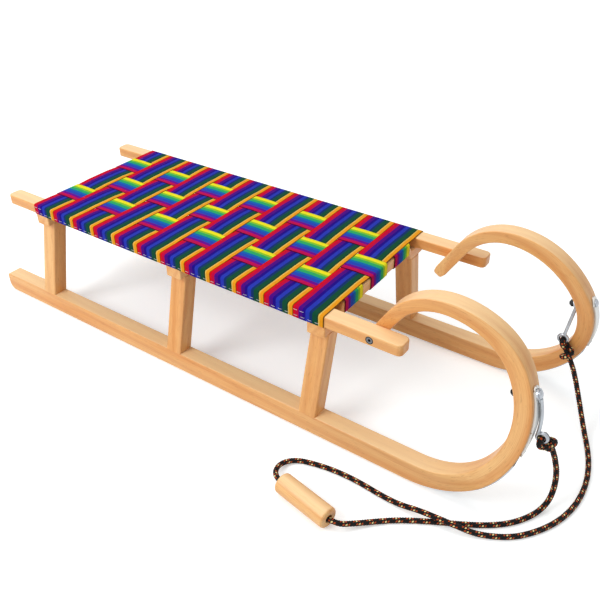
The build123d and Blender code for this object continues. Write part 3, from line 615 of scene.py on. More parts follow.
class SLED_OT_wood(bpy.types.Operator):
    """Gives the runners, legs, crossbeams, rails and grip their beech finish"""

    bl_idname = "sled.wood"
    bl_label = "Finish the Wood"

    def execute(self, context):
        wood = context.scene.sled.wood
        grain = make_grain(wood)
        quarter = math.pi / 2
        bent = make_wood("bent_beech", grain, lambda tree, place: bent_place(tree, place, wood))
        rail = make_wood("rail_beech", grain, turned_place((0.0, 0.0, 0.0)))
        beam = make_wood("beam_beech", grain, turned_place((0.0, 0.0, -quarter)))
        low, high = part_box("left_middle_leg")
        lean = (high.y - low.y - wood.leg_width) / (high.z - low.z)
        leg = make_wood("leg_beech", grain, leaning_place(lean))
        grip = make_wood("grip_beech", grain, turned_place((0.0, 0.0, math.radians(10.2))))
        finish_cad_pieces({
            "_runner": bent, "_seat_rail": rail, "_crossbeam": beam, "_leg": leg,
            "pull_handle": grip,
        })
        return {"FINISHED"}


def shape_leg(build, low, high, wood):
    """Makes a leg stouter between its tenons and sets its foot back."""
    middle_x = (low.x + high.x) / 2
    half_x, half_y = (high.x - low.x) / 2, wood.leg_width / 2
    tenon_x, tenon_y = wood.tenon_length / 2, wood.tenon_width / 2
    outline = [v.co for v in build.verts if abs(v.co.x - middle_x) > tenon_x + 1 * MM]
    ends = []
    for z in (min(place.z for place in outline), max(place.z for place in outline)):
        level = [place.y for place in outline if abs(place.z - z) < 0.1 * MM]
        ends.append((z, (max(level) + min(level)) / 2))
    (foot, foot_y), (head, head_y) = ends
    for vert in build.verts:
        # 0 at the foot and 1 at the head, and past them on the tenons
        up = (vert.co.z - foot) / (head - foot)
        off_x = vert.co.x - middle_x
        off_y = vert.co.y - (foot_y + (head_y - foot_y) * up)
        on_tenon = abs(off_x) < tenon_x and abs(off_y) < tenon_y
        if -0.001 < up < 1.001 and not on_tenon:
            vert.co.x += off_x / half_x * wood.leg_deeper / 2 - wood.leg_rake * (1 - up)
            vert.co.y += off_y / half_y * wood.leg_wider / 2


class SLED_OT_legs(bpy.types.Operator):
    """Makes the legs stouter between their tenons and rakes them a little"""

    bl_idname = "sled.legs"
    bl_label = "Shape the Legs"

    def execute(self, context):
        wood = context.scene.sled.wood
        for side in SIDES:
            for station in STATIONS:
                cad_name = f"{side}_{station}_leg"
                build = merged_copy(cad_name)
                shape_leg(build, *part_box(cad_name), wood)
                shade_faces(build)
                solid_piece(f"leg_{station}_{side}", build, "leg_beech", "bent_wood", cad_name)
        return {"FINISHED"}


class SLED_OT_runners(bpy.types.Operator):
    """Trims the tips of the horns and rounds their corners"""

    bl_idname = "sled.runners"
    bl_label = "Trim the Horn Tips"

    def execute(self, context):
        wood = context.scene.sled.wood
        turn = math.radians(wood.tip_turn)
        along = Vector((-math.cos(turn), 0, -math.sin(turn)))
        behind = Vector((-math.sin(turn), 0, math.cos(turn)))

        def in_tip(vert, start):
            place = vert.co
            return place.z > TIP_LEVEL and place.x < wood.bend_x and place.dot(along) > start

        for side in SIDES:
            build = merged_copy(f"{side}_runner")
            end = max(v.co.dot(along) for v in build.verts if in_tip(v, -1))
            start = end - 4 * wood.tip_cut
            near = [face for face in build.faces if any(in_tip(v, start) for v in face.verts)]
            split(build, near, along * start, along, clear=False)
            tops = [v.co.dot(behind) for v in build.verts if in_tip(v, end - 0.1 * MM)]
            middle, half = (max(tops) + min(tops)) / 2, (max(tops) - min(tops)) / 2
            # the end first, and then the upper and the lower corner
            turns = range(ROUNDING_STEP, 90, ROUNDING_STEP)
            cuts = [(0, 0)] + [(way, degrees) for way in (1, -1) for degrees in turns]
            for way, degrees in cuts:
                bend = math.radians(degrees)
                outward = along * math.cos(bend) + behind * way * math.sin(bend)
                centre = along * (end - wood.tip_cut - wood.tip_rounding)
                centre += behind * (middle + way * (half - wood.tip_rounding))
                tip = [
                    face for face in build.faces
                    if all(in_tip(v, start - 0.01 * MM) for v in face.verts)
                ]
                cut_away(build, tip, centre + outward * wood.tip_rounding, outward)
            shade_faces(build)
            solid_piece(
                f"bent_runner_{side}", build, "bent_beech", "bent_wood", f"{side}_runner"
            )
        return {"FINISHED"}


# ---------------------------------------------------------------- steel
def make_steel(name, steel, axis=None, low=0.0, high=10.0, dulled=1.0):
    """Zinc-plated steel. With an axis that runs across the sled, it is bright
    between two distances from that axis, and black elsewhere."""
    material, tree, shader = new_material(name, Metallic=1.0, Specular_IOR_Level=0.5)
    place = node(tree, "ShaderNodeTexCoord").outputs["Object"]
    brushed = noise(tree, place, (260, 900, 260), 3)
    cloud = noise(tree, place, (60, 60, 60), 2)
    tone = blended(tree, levels(tree, cloud, 0.35, 0.7), [c * dulled for c in steel.bright],
                   [c * 0.78 * dulled for c in steel.bright])
    if axis:
        from_axis = vector_calc(
            tree, "MULTIPLY", vector_calc(tree, "SUBTRACT", place, axis), (1.0, 0.0, 1.0)
        )
        away = node(tree, "ShaderNodeVectorMath", {0: from_axis}, operation="LENGTH")
        away = away.outputs["Value"]
        black = calc(
            tree, "MAXIMUM", calc(tree, "LESS_THAN", away, low), calc(tree, "GREATER_THAN", away, high)
        )
        tone = blended(tree, black, tone, [c * 0.04 for c in steel.bright])
    rough = levels(tree, brushed, 0.3, 0.7, 0.24, 0.42)
    feed(tree, shader, tone, rough, brushed, 0.00005, 0.25)
    return material


class SLED_OT_steel(bpy.types.Operator):
    """Gives the shoes, horn bolts and hangers their steel finish"""

    bl_idname = "sled.steel"
    bl_label = "Finish the Steel"

    def execute(self, context):
        steel = context.scene.sled.steel
        bright = make_steel("bright_steel", steel)
        crown = (steel.crown_x, 0.0, steel.crown_z)
        # the horn bolt is painted black within nut_reach of the crown's middle, over its nut and inner
        # end
        bolt = make_steel("bolt_steel", steel, crown, low=steel.nut_reach)
        middle = box_middle("left_rail_bolt")
        socket = (middle.x, 0.0, middle.z)
        # painted shade in the rail bolt's socket and painted shadow round its head
        make_steel("socket_steel", steel, socket, steel.socket_radius, steel.head_radius, 0.35)
        finish_cad_pieces({"_runner_shoe": bright, "_hanger": bright, "_horn_bolt": bolt})
        return {"FINISHED"}


# ---------------------------------------------------------------- webbing
CROSS_STRIPES = [
    ("red", 0.08), ("crimson", 0.11), ("plum", 0.13), ("indigo", 0.10), ("blue", 0.13),
    ("teal", 0.09), ("green", 0.16), ("olive", 0.03), ("straw", 0.04), ("gold", 0.13),
]
LONG_STRIPES = [
    ("magenta", 0.17), ("violet", 0.12), ("bright_blue", 0.17), ("cyan", 0.11),
    ("mint", 0.15), ("lime", 0.10), ("lemon", 0.18),
]


STRAP_GAP = 0.3 * MM  # between a strap and the wood that it wraps
WOOD_EDGE = 2.5 * MM  # radius of the long edges of the rails and crossbeams
TURNED_IN = 25 * MM  # length of a cross strap's ends under the rails
SELVEDGE = 1.2 * MM  # width of the strip along a strap's edge
LINE_STEP = 7 * MM  # distance between two rows of a strap's mesh
CROSS_BEND = 12 * MM  # radius at which a cross strap bends in the weave
LONG_BEND = 60 * MM  # radius at which a long strap bends in the weave
WEAVE_ROOM = 2 * MM  # from a long strap's edge to a cross strap's bend beside it
OPEN_UNDER = 1.2 * MM  # above a rail's underside, where cross straps are open at the crossbeams
LEVEL_SHARE = 0.7  # where a cross strap is level, from the outer long strap to the rail


def make_webbing(name, webbing, stripes, width):
    """Woven stripes on a strap whose UV map runs along it and across it, in metres."""
    material, tree, shader = new_material(
        name, Specular_IOR_Level=0.08, Sheen_Weight=0.01, Sheen_Roughness=0.5
    )
    flat = node(tree, "ShaderNodeUVMap").outputs[0]
    along, across = node(tree, "ShaderNodeSeparateXYZ", {"Vector": flat}).outputs[:2]
    turn = 2 * math.pi / webbing.thread
    rib = calc(tree, "SINE", calc(tree, "MULTIPLY", along, turn))
    warp = calc(tree, "SINE", calc(tree, "MULTIPLY", across, turn * 1.4))
    # neighbouring threads reach a little into each other's stripe
    feathered = calc(tree, "ADD", across, calc(tree, "MULTIPLY", rib, 0.00012))
    share = calc(tree, "DIVIDE", feathered, width)
    ramp = node(tree, "ShaderNodeValToRGB", {"Fac": share})
    ramp.color_ramp.interpolation = "CONSTANT"
    stops, reached = ramp.color_ramp.elements, 0.0
    for i, (stripe, part) in enumerate(stripes):
        stop = stops[i] if i < 2 else stops.new(reached)
        stop.position = reached
        stop.color = (*getattr(webbing, stripe), 1)
        reached += part
    thread_noise = noise(tree, flat, (90, 900, 1), 2)
    tone = levels(tree, thread_noise, 0.3, 0.7, 0.84, 1.06)
    weave = calc(tree, "MULTIPLY", rib, warp)
    # painted shade and highlight of the weave: darker in its gaps, a little lighter on its ribs
    tone = calc(tree, "MULTIPLY", tone, levels(tree, weave, -1.0, 1.0, 0.86, 1.04))
    # painted shade: each strap is darkened along its edges, where it meets its neighbours
    inward = calc(tree, "MINIMUM", across, calc(tree, "SUBTRACT", width, across))
    tone = calc(tree, "MULTIPLY", tone, levels(tree, inward, 0.4 * MM, 1.5 * MM, 0.18, 1.0))
    coloured = scaled(tree, ramp.outputs["Color"], tone)
    height = calc(tree, "ADD", weave, calc(tree, "MULTIPLY", rib, 0.5))
    feed(tree, shader, coloured, levels(tree, weave, -1.0, 1.0, 0.9, 0.76), height, 0.0002, 0.5)
    return material


def seat_settling(sag):
    """A rule for how far the seat has sunk: nothing over the beams and at the rails."""
    beams = [box_middle(f"{station}_crossbeam").x for station in STATIONS]
    half = -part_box("right_seat_rail")[1].y

    def settle(x, y):
        if abs(y) >= half:
            return 0.0
        across = 1 - (y / half) ** 2
        for low, high in zip(beams, beams[1:]):
            if low < x < high:
                share = (x - low) / (high - low)
                return sag * across * math.sin(math.pi * share) ** 1.5
        return 0.0

    return settle


def strap_mesh(name, line, width, frame_of, material, webbing, open_under=()):
    """A strap along a line in a plane.

    frame_of turns a place on the line and a place across the strap into a
    point of the sled. open_under holds spans across the strap, and the
    height under which the strap has a gap there.
    """
    columns = [0.0, width]
    wished = [edge for low, high, _ in open_under for edge in (low, high)]
    wished += [SELVEDGE, width - SELVEDGE, *(width * i / 10 for i in range(1, 10))]
    for edge in wished:
        if all(abs(edge - other) > 1 * MM for other in columns) and 0 < edge < width:
            columns.append(edge)
    columns.sort()
    mesh = bpy.data.meshes.new(name)
    build = bmesh.new()
    layer = build.loops.layers.uv.new("UVMap")
    reached, rows = 0.0, []
    for i, point in enumerate(line):
        reached += (point - line[i - 1]).length if i else 0.0
        rows.append((reached, [build.verts.new(frame_of(point, across)) for across in columns]))
    for (low_along, low), (high_along, high) in zip(rows, rows[1:]):
        for c in range(len(columns) - 1):
            middle = (columns[c] + columns[c + 1]) / 2
            corners = (low[c], high[c], high[c + 1], low[c + 1])
            top = max(v.co.z for v in corners)
            if any(a < middle < b and top < z for a, b, z in open_under):
                continue
            face = build.faces.new(corners)
            places = (
                (low_along, columns[c]), (high_along, columns[c]),
                (high_along, columns[c + 1]), (low_along, columns[c + 1]),
            )
            for loop, place in zip(face.loops, places):
                loop[layer].uv = place
    loose = [v for v in build.verts if not v.link_faces]
    bmesh.ops.delete(build, geom=loose, context="VERTS")
    for face in build.faces:
        face.smooth = True
    build.to_mesh(mesh)
    build.free()
    mesh.materials.append(material)
    sheet = add_object(name + "_sheet", mesh)
    body = sheet.modifiers.new("Thickness", "SOLIDIFY")
    body.thickness = webbing.thickness
    body.offset = 0
    edge = sheet.modifiers.new("Edge", "BEVEL")
    edge.width = webbing.thickness * 0.3
    edge.segments = 1
    edge.limit_method = "ANGLE"
    edge.angle_limit = math.radians(60)
    return set_down(name, sheet)


class SLED_OT_cross_straps(bpy.types.Operator):
    """Weaves the twelve straps that go across the seat and wrap the rails"""

    bl_idname = "sled.cross_straps"
    bl_label = "Weave the Cross Straps"

    def execute(self, context):
        webbing = context.scene.sled.webbing
        rail_low, rail_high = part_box("left_seat_rail")
        off = STRAP_GAP + webbing.thickness / 2
        level, side_y, under = rail_high.z + off, rail_high.y + off, rail_low.z - off
        fold = WOOD_EDGE + off
        long_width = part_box("middle_long_strap")[1].y * 2
        long_pitch = box_middle("left_long_strap").y
        flat = long_width / 2 + WEAVE_ROOM
        level_y = long_pitch + flat + (rail_low.y - long_pitch - flat) * LEVEL_SHARE
        beams = []
        for station in STATIONS:
            rear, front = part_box(f"{station}_crossbeam")
            beams.append((rear.x - STRAP_GAP, front.x + STRAP_GAP))
        settle = seat_settling(webbing.sag)
        first, last = (box_middle(f"cross_strap_{n:02d}").x for n in (1, CROSS_STRAPS))
        width = (last - first) / (CROSS_STRAPS - 1) + webbing.overlap
        finish = make_webbing("cross_webbing", webbing, CROSS_STRIPES, width)
        for number in range(CROSS_STRAPS):
            cad_name = f"cross_strap_{number + 1:02d}"
            start_x = box_middle(cad_name).x - width / 2
            tuck = webbing.tuck * (number % 2)
            start_y = rail_high.y - TURNED_IN
            corners = [(-start_y, under), (-side_y, under), (-side_y, level), (-level_y, level)]
            radii = [fold, fold, CROSS_BEND]
            for place in range(3):
                middle_y = (place - 1) * long_pitch
                above = (number + place) % 2 == 1
                height = level + webbing.cross_rise * (1 if above else -1)
                corners += [(middle_y - flat, height), (middle_y + flat, height)]
                radii += [CROSS_BEND, CROSS_BEND]
            corners += [(level_y, level), (side_y, level), (side_y, under), (start_y, under)]
            radii += [CROSS_BEND, fold, fold]
            line = rounded_line(corners, radii, LINE_STEP)

            def place_on_sled(point, across, start_x=start_x, tuck=tuck):
                x = start_x + across
                return (x, point.x, point.y - settle(x, point.x) - tuck)

            gaps = [
                (rear - start_x, front - start_x, rail_low.z + OPEN_UNDER)
                for rear, front in beams
                if front > start_x and rear < start_x + width
            ]
            piece = strap_mesh(
                f"webbing_across_{number + 1:02d}", line, width, place_on_sled, finish,
                webbing, gaps,
            )
            keep_piece(piece, "cross_webbing", cad_name)
        return {"FINISHED"}


class SLED_OT_long_straps(bpy.types.Operator):
    """Weaves the three straps that go along the seat and wrap the end crossbeams"""

    bl_idname = "sled.long_straps"
    bl_label = "Weave the Long Straps"

    def execute(self, context):
        webbing = context.scene.sled.webbing
        half = webbing.thickness / 2
        off = STRAP_GAP + half
        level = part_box("left_seat_rail")[1].z + off
        fold = WOOD_EDGE + off
        rear_x, front_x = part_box("rear_crossbeam")[0].x - off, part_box("front_crossbeam")[1].x + off
        cross = [box_middle(f"cross_strap_{n + 1:02d}").x for n in range(CROSS_STRAPS)]
        settle = seat_settling(webbing.sag)
        width = webbing.long_width
        finish = make_webbing("long_webbing", webbing, LONG_STRIPES, width)
        for place, side in enumerate(("right", "middle", "left")):
            cad_name = f"{side}_long_strap"
            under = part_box(cad_name)[0].z + half
            start_y = box_middle(cad_name).y - width / 2
            corners = [(box_middle("rear_crossbeam").x, under), (rear_x, under), (rear_x, level)]
            radii = [fold, fold]
            for number, x in enumerate(cross):
                above = (number + place) % 2 == 1
                corners.append((x, level - webbing.long_dip * (1 if above else -1)))
                radii.append(LONG_BEND)
            corners += [(front_x, level), (front_x, under), (box_middle("front_crossbeam").x, under)]
            radii += [fold, fold]
            line = rounded_line(corners, radii, LINE_STEP)

            def place_on_sled(point, across, start_y=start_y):
                y = start_y + across
                on_top = point.y > level - 3 * MM
                drop = settle(point.x, y) if on_top else 0.0
                return (point.x, y, point.y - drop)

            piece = strap_mesh(
                f"webbing_along_{side}", line, width, place_on_sled, finish, webbing
            )
            keep_piece(piece, "long_webbing", cad_name)
        return {"FINISHED"}


THREAD_RADIUS = 0.36 * MM
THREAD_OUT = 0.1 * MM  # from a strap's face to the ends of a stitch
SEAM_HEIGHT = 5.2 * MM  # above the rail's underside
SEAM_START = 4 * MM  # from a cross strap's rear edge
SEAM_END = 11 * MM  # from its front edge
UPPER_SEAM_RISE = 10.5 * MM  # on the first and the last strap, above the other seam
UPPER_SEAM_END = 16 * MM  # from the rear edge


def make_stitching():
    """Geometry Nodes that sew along the edges of a mesh, one thread loop per stitch."""
    tree, start = geometry_tree(
        "stitching", ("Stitch Length", "Float"), ("Stitch Gap", "Float"),
        ("Thread Radius", "Float"), ("Thread", "Material"),
    )
    seams = node(tree, "GeometryNodeMeshToCurve", {"Mesh": start["Geometry"]})
    pitch = calc(tree, "ADD", start["Stitch Length"], start["Stitch Gap"])
    spots = node(
        tree, "GeometryNodeCurveToPoints", {"Curve": seams.outputs[0], "Length": pitch},
        mode="LENGTH",
    )
    half = calc(tree, "MULTIPLY", start["Stitch Length"], 0.5)
    rise = calc(tree, "MULTIPLY", start["Thread Radius"], 1.1)
    ends = {"Start": (0.0, -1), "Start Handle": (rise, -0.7), "End Handle": (rise, 0.7),
            "End": (0.0, 1)}
    loop = {
        label: joined(tree, height, 0.0, calc(tree, "MULTIPLY", half, share))
        for label, (height, share) in ends.items()
    }
    stitch = node(tree, "GeometryNodeCurvePrimitiveBezierSegment", {**loop, "Resolution": 6})
    ring = node(
        tree, "GeometryNodeCurvePrimitiveCircle",
        {"Resolution": 6, "Radius": start["Thread Radius"]},
    )
    thread = node(
        tree, "GeometryNodeCurveToMesh",
        {"Curve": stitch.outputs[0], "Profile Curve": ring.outputs[0], "Fill Caps": True},
    )
    sewn = node(
        tree, "GeometryNodeInstanceOnPoints",
        {"Points": spots.outputs["Points"], "Instance": thread.outputs[0],
         "Rotation": spots.outputs["Rotation"]},
    )
    return finish_tree(tree, sewn.outputs[0], start["Thread"])


class SLED_OT_stitches(bpy.types.Operator):
    """Sews the turned-under ends of the cross straps"""

    bl_idname = "sled.stitches"
    bl_label = "Sew the Straps"

    def execute(self, context):
        webbing = context.scene.sled.webbing
        thread, tree, shader = new_material("sewing_thread", Roughness=0.6, Sheen_Weight=0.3)
        place = node(tree, "ShaderNodeTexCoord").outputs["Object"]
        twist = noise(tree, place, (2500, 2500, 2500), 1)
        feed(tree, shader, blended(tree, twist, webbing.stitch[:],
                                   [c * 0.8 for c in webbing.stitch]), None, twist, 0.0001, 0.4)
        rail_low, rail_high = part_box("left_seat_rail")
        y = rail_high.y + STRAP_GAP + webbing.thickness + THREAD_OUT
        z = rail_low.z + SEAM_HEIGHT
        lines = []
        for number in range(CROSS_STRAPS):
            low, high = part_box(f"cross_strap_{number + 1:02d}")
            for side in SIDES.values():
                rows = [(low.x + SEAM_START, high.x - SEAM_END, z)]
                if number in (0, CROSS_STRAPS - 1):
                    rows.append((low.x + SEAM_START, low.x + UPPER_SEAM_END, z + UPPER_SEAM_RISE))
                lines += [((a, side * y, h), (b, side * y, h)) for a, b, h in rows]
        points = [p for line in lines for p in line]
        edges = [(i, i + 1) for i in range(0, len(points), 2)]
        seams = plain_object("seam_lines", points, edges)
        sewing = seams.modifiers.new("Stitches", "NODES")
        sewing.node_group = make_stitching()
        set_inputs(
            sewing, stitch_length=webbing.stitch_length, stitch_gap=webbing.stitch_gap,
            thread_radius=THREAD_RADIUS, thread=thread,
        )
        keep_piece(set_down("strap_stitches", seams), "cross_webbing")
        return {"FINISHED"}


# ---------------------------------------------------------------- rope
STRAND_FLATNESS = 0.36  # thickness of a strand for its width
# the others are shares of the rope's diameter
STRAND_MIDDLE = 0.425  # from the rope's middle to the middle of a strand
STRAND_WAVE = 0.042  # how far a strand rises and falls where others cross it
STRANDS_ROUND = 1.3  # width of all the strands of one way together
HEART_RADIUS = 0.41  # of the core that the strands lie on


def make_braid():
    """Geometry Nodes that braid strands round every line of a mesh."""
    tree, start = geometry_tree(
        "braided_cord", ("Diameter", "Float"), ("Plait", "Float"), ("Strands", "Int"),
        ("Yarn", "Material"),
    )
    line = node(tree, "GeometryNodeMeshToCurve", {"Mesh": start["Geometry"]}).outputs[0]
    total = node(tree, "GeometryNodeCurveLength", {"Curve": line}).outputs[0]
    crossing = calc(
        tree, "DIVIDE", start["Plait"], calc(tree, "MULTIPLY", start["Strands"], 2.0)
    )
    count = calc(tree, "ADD", calc(tree, "ROUND", calc(tree, "DIVIDE", total, crossing)), 1)
    fine = node(
        tree, "GeometryNodeResampleCurve", {"Curve": line, "Count": count}, mode="COUNT"
    ).outputs[0]
    strands = node(
        tree, "GeometryNodeDuplicateElements",
        {"Geometry": fine, "Amount": calc(tree, "MULTIPLY", start["Strands"], 2)},
        domain="SPLINE",
    )
    number = strands.outputs["Duplicate Index"]
    # even strands go round one way and odd ones the other
    way = calc(tree, "SUBTRACT", 1.0, calc(tree, "MULTIPLY", calc(tree, "MODULO", number, 2.0), 2))
    lane = calc(tree, "FLOOR", calc(tree, "MULTIPLY", number, 0.5))
    index = node(tree, "GeometryNodeSplineParameter").outputs["Index"]
    reached = calc(tree, "MULTIPLY", index, crossing)
    turns = calc(tree, "MULTIPLY", way, calc(tree, "DIVIDE", reached, start["Plait"]))
    angle = calc(
        tree, "MULTIPLY",
        calc(tree, "ADD", turns, calc(tree, "DIVIDE", lane, start["Strands"])), 2 * math.pi,
    )
    upward = node(tree, "GeometryNodeInputNormal").outputs[0]
    forward = node(tree, "GeometryNodeInputTangent").outputs[0]
    sideward = vector_calc(tree, "CROSS_PRODUCT", forward, upward)
    outward = vector_calc(
        tree, "ADD",
        scaled(tree, upward, calc(tree, "COSINE", angle)),
        scaled(tree, sideward, calc(tree, "SINE", angle)),
    )
    # a strand is over every second crossing and under the others
    parity = calc(tree, "SUBTRACT", 1.0, calc(
        tree, "MULTIPLY", calc(tree, "MODULO", index, 2.0), 2))
    over = calc(tree, "MULTIPLY", parity, way)
    radius = calc(
        tree, "MULTIPLY", start["Diameter"],
        calc(tree, "ADD", STRAND_MIDDLE, calc(tree, "MULTIPLY", over, STRAND_WAVE)),
    )
    kept = node(
        tree, "GeometryNodeCaptureAttribute", {"Geometry": strands.outputs["Geometry"]},
        domain="POINT",
    )
    kept.capture_items.new("VECTOR", "Outward")
    tree.links.new(outward, kept.inputs["Outward"])
    moved = node(
        tree, "GeometryNodeSetPosition",
        {"Geometry": kept.outputs["Geometry"], "Offset": scaled(tree, outward, radius)},
    )
    facing = node(
        tree, "GeometryNodeSetCurveNormal",
        {"Curve": moved.outputs[0], "Normal": kept.outputs["Outward"]}, mode="FREE",
    )
    named = node(
        tree, "GeometryNodeStoreNamedAttribute",
        {"Geometry": facing.outputs[0], "Name": "strand", "Value": number},
        data_type="FLOAT", domain="POINT",
    )
    all_round = calc(tree, "MULTIPLY", start["Diameter"], STRANDS_ROUND)
    width = calc(tree, "DIVIDE", all_round, start["Strands"])
    ring = node(tree, "GeometryNodeCurvePrimitiveCircle", {"Resolution": 5, "Radius": 1.0})
    flat = node(
        tree, "GeometryNodeTransform",
        {"Geometry": ring.outputs[0],
         "Scale": joined(tree, calc(tree, "MULTIPLY", width, STRAND_FLATNESS), width, 1.0)},
    )
    yarn = node(
        tree, "GeometryNodeCurveToMesh",
        {"Curve": named.outputs[0], "Profile Curve": flat.outputs[0], "Fill Caps": True},
    )
    heart_ring = node(
        tree, "GeometryNodeCurvePrimitiveCircle",
        {"Resolution": 10, "Radius": calc(tree, "MULTIPLY", start["Diameter"], HEART_RADIUS)},
    )
    heart_line = node(
        tree, "GeometryNodeResampleCurve", {"Curve": line, "Length": 4 * MM}, mode="LENGTH"
    )
    heart_named = node(
        tree, "GeometryNodeStoreNamedAttribute",
        {"Geometry": heart_line.outputs[0], "Name": "strand", "Value": -1.0},
        data_type="FLOAT", domain="POINT",
    )
    heart = node(
        tree, "GeometryNodeCurveToMesh",
        {"Curve": heart_named.outputs[0], "Profile Curve": heart_ring.outputs[0],
         "Fill Caps": True},
    )
    return finish_tree(tree, together(tree, yarn.outputs[0], heart.outputs[0]), start["Yarn"])


def make_yarn(rope):
    """Black yarn with a pale strand between two orange-red ones."""
    material, tree, shader = new_material(
        "rope_yarn", Specular_IOR_Level=0.2, Sheen_Weight=0.03, Sheen_Roughness=0.4
    )
    strand = node(tree, "ShaderNodeAttribute", {}, attribute_name="strand").outputs["Fac"]
    place = node(tree, "ShaderNodeTexCoord").outputs["Object"]
    fibre = noise(tree, place, (1800, 1800, 1800), 2)

    def among(*numbers):
        found = 0.0
        for number in numbers:
            found = calc(tree, "ADD", found, calc(tree, "COMPARE", strand, float(number), 0.3))
        return found

    tone = blended(tree, among(0), rope.black[:], rope.yellow[:])
    tone = blended(tree, among(2, 8), tone, rope.red[:])
    tone = scaled(tree, tone, levels(tree, fibre, 0.3, 0.7, 0.75, 1.15))
    feed(tree, shader, tone, levels(tree, fibre, 0.3, 0.7, 0.5, 0.7), fibre, 0.0002, 0.5)
    return material


def braided(name, line_mesh, rope):
    """A braided piece along the line of a mesh."""
    line = add_object(name + "_line", line_mesh)
    braid = line.modifiers.new("Braid", "NODES")
    braid.node_group = bpy.data.node_groups.get("braided_cord") or make_braid()
    yarn = bpy.data.materials.get("rope_yarn") or make_yarn(rope)
    set_inputs(
        braid, diameter=rope.diameter, plait=rope.plait, strands=rope.strands, yarn=yarn
    )
    return set_down(name, line)


class SLED_OT_rope(bpy.types.Operator):
    """Braids the pull rope and ties its two knots"""

    bl_idname = "sled.rope"
    bl_label = "Braid the Rope"

    def execute(self, context):
        rope = context.scene.sled.rope
        for side, route in KNOT_ROUTES.items():
            _, mesh = line_points(route)
            knot = braided(f"braided_knot_{side}", mesh, rope)
            keep_piece(knot, "braided_rope", f"{side}_rope_knot")
        points, mesh = line_points(ROPE_ROUTE)
        cord = keep_piece(braided("braided_rope", mesh, rope), "braided_rope", "pull_rope")
        long = sum((b - a).length for a, b in zip(points, points[1:]))
        if not 1.3 < long < 1.5:
            raise RuntimeError(f"the rope is {long:.3f} m long, and it should be about 1.4 m")
        return {"FINISHED"}


# ---------------------------------------------------------------- plates, bolts and screws
def round_front(steel, radius, degrees):
    """A place on a plate round the crown, and the ways out and up from it, on the left."""
    angle = math.radians(degrees)
    out = Vector((math.cos(angle), 0, math.sin(angle)))
    up = Vector((-math.sin(angle), -steel.lean * math.cos(angle), math.cos(angle)))
    place = Vector((steel.crown_x, 0, steel.crown_z)) + out * radius
    return place, out, up.normalized()


class SLED_OT_plates(bpy.types.Operator):
    """Rounds off the horn plates close above their bolts"""

    bl_idname = "sled.plates"
    bl_label = "Fit the Horn Plates"

    def execute(self, context):
        steel = context.scene.sled.steel
        for side, way in SIDES.items():
            cad_name = f"{side}_horn_plate"
            build = merged_copy(cad_name)
            bolt = box_middle(f"{side}_horn_bolt")
            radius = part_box(cad_name)[1].x - steel.crown_x
            place, out, up = round_front(steel, radius, steel.bolt_angle)
            place.y, up.y = bolt.y, up.y * way
            across = up.cross(out).normalized()
            centre = place + up * (steel.plate_end - steel.plate_rounding)
            for turn in range(ROUNDING_STEP - 90, 90, ROUNDING_STEP):
                outward = up * math.cos(math.radians(turn)) + across * math.sin(math.radians(turn))
                cut_away(build, build.faces[:], centre + outward * steel.plate_rounding, outward)
            solid_piece(f"horn_plate_{side}", build, "bright_steel", "bright_steel", cad_name)
        return {"FINISHED"}


PLUG_EDGE = 0.3 * MM  # how far a plug's rim is cut back


class SLED_OT_rail_bolts(bpy.types.Operator):
    """Sets the bolts through the rails, whose inner ends small wood plugs cover"""

    bl_idname = "sled.rail_bolts"
    bl_label = "Set the Rail Bolts"

    def execute(self, context):
        steel = context.scene.sled.steel
        plugs = bmesh.new()
        for side, way in SIDES.items():
            cad_name = f"{side}_rail_bolt"
            low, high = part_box(f"{side}_seat_rail")
            inner_face = min(abs(low.y), abs(high.y)) - steel.horn_width
            build = merged_copy(cad_name)
            end = Vector((0, way * (inner_face + steel.bolt_recess), 0))
            cut_away(build, build.faces[:], end, Vector((0, -way, 0)))
            solid_piece(f"rail_bolt_{side}", build, "socket_steel", "bright_steel", cad_name)
            middle = box_middle(cad_name)
            depth = steel.bolt_recess + steel.plug_rise
            middle.y = way * (inner_face - steel.plug_rise + depth / 2)
            turned = Matrix.Translation(middle) @ Matrix.Rotation(math.pi / 2, 4, "X")
            bmesh.ops.create_cone(
                plugs, cap_ends=True, segments=24, radius1=steel.plug_radius,
                radius2=steel.plug_radius, depth=depth, matrix=turned,
            )
        rims = [edge for edge in plugs.edges if edge.calc_face_angle() > math.radians(60)]
        bmesh.ops.bevel(plugs, geom=rims, offset=PLUG_EDGE, segments=2, affect="EDGES")
        mesh = bpy.data.meshes.new("bolt_plugs")
        plugs.to_mesh(mesh)
        plugs.free()
        mesh.materials.append(bpy.data.materials["bent_beech"])
        keep_piece(add_object("bolt_plugs", mesh), "bent_wood")
        return {"FINISHED"}


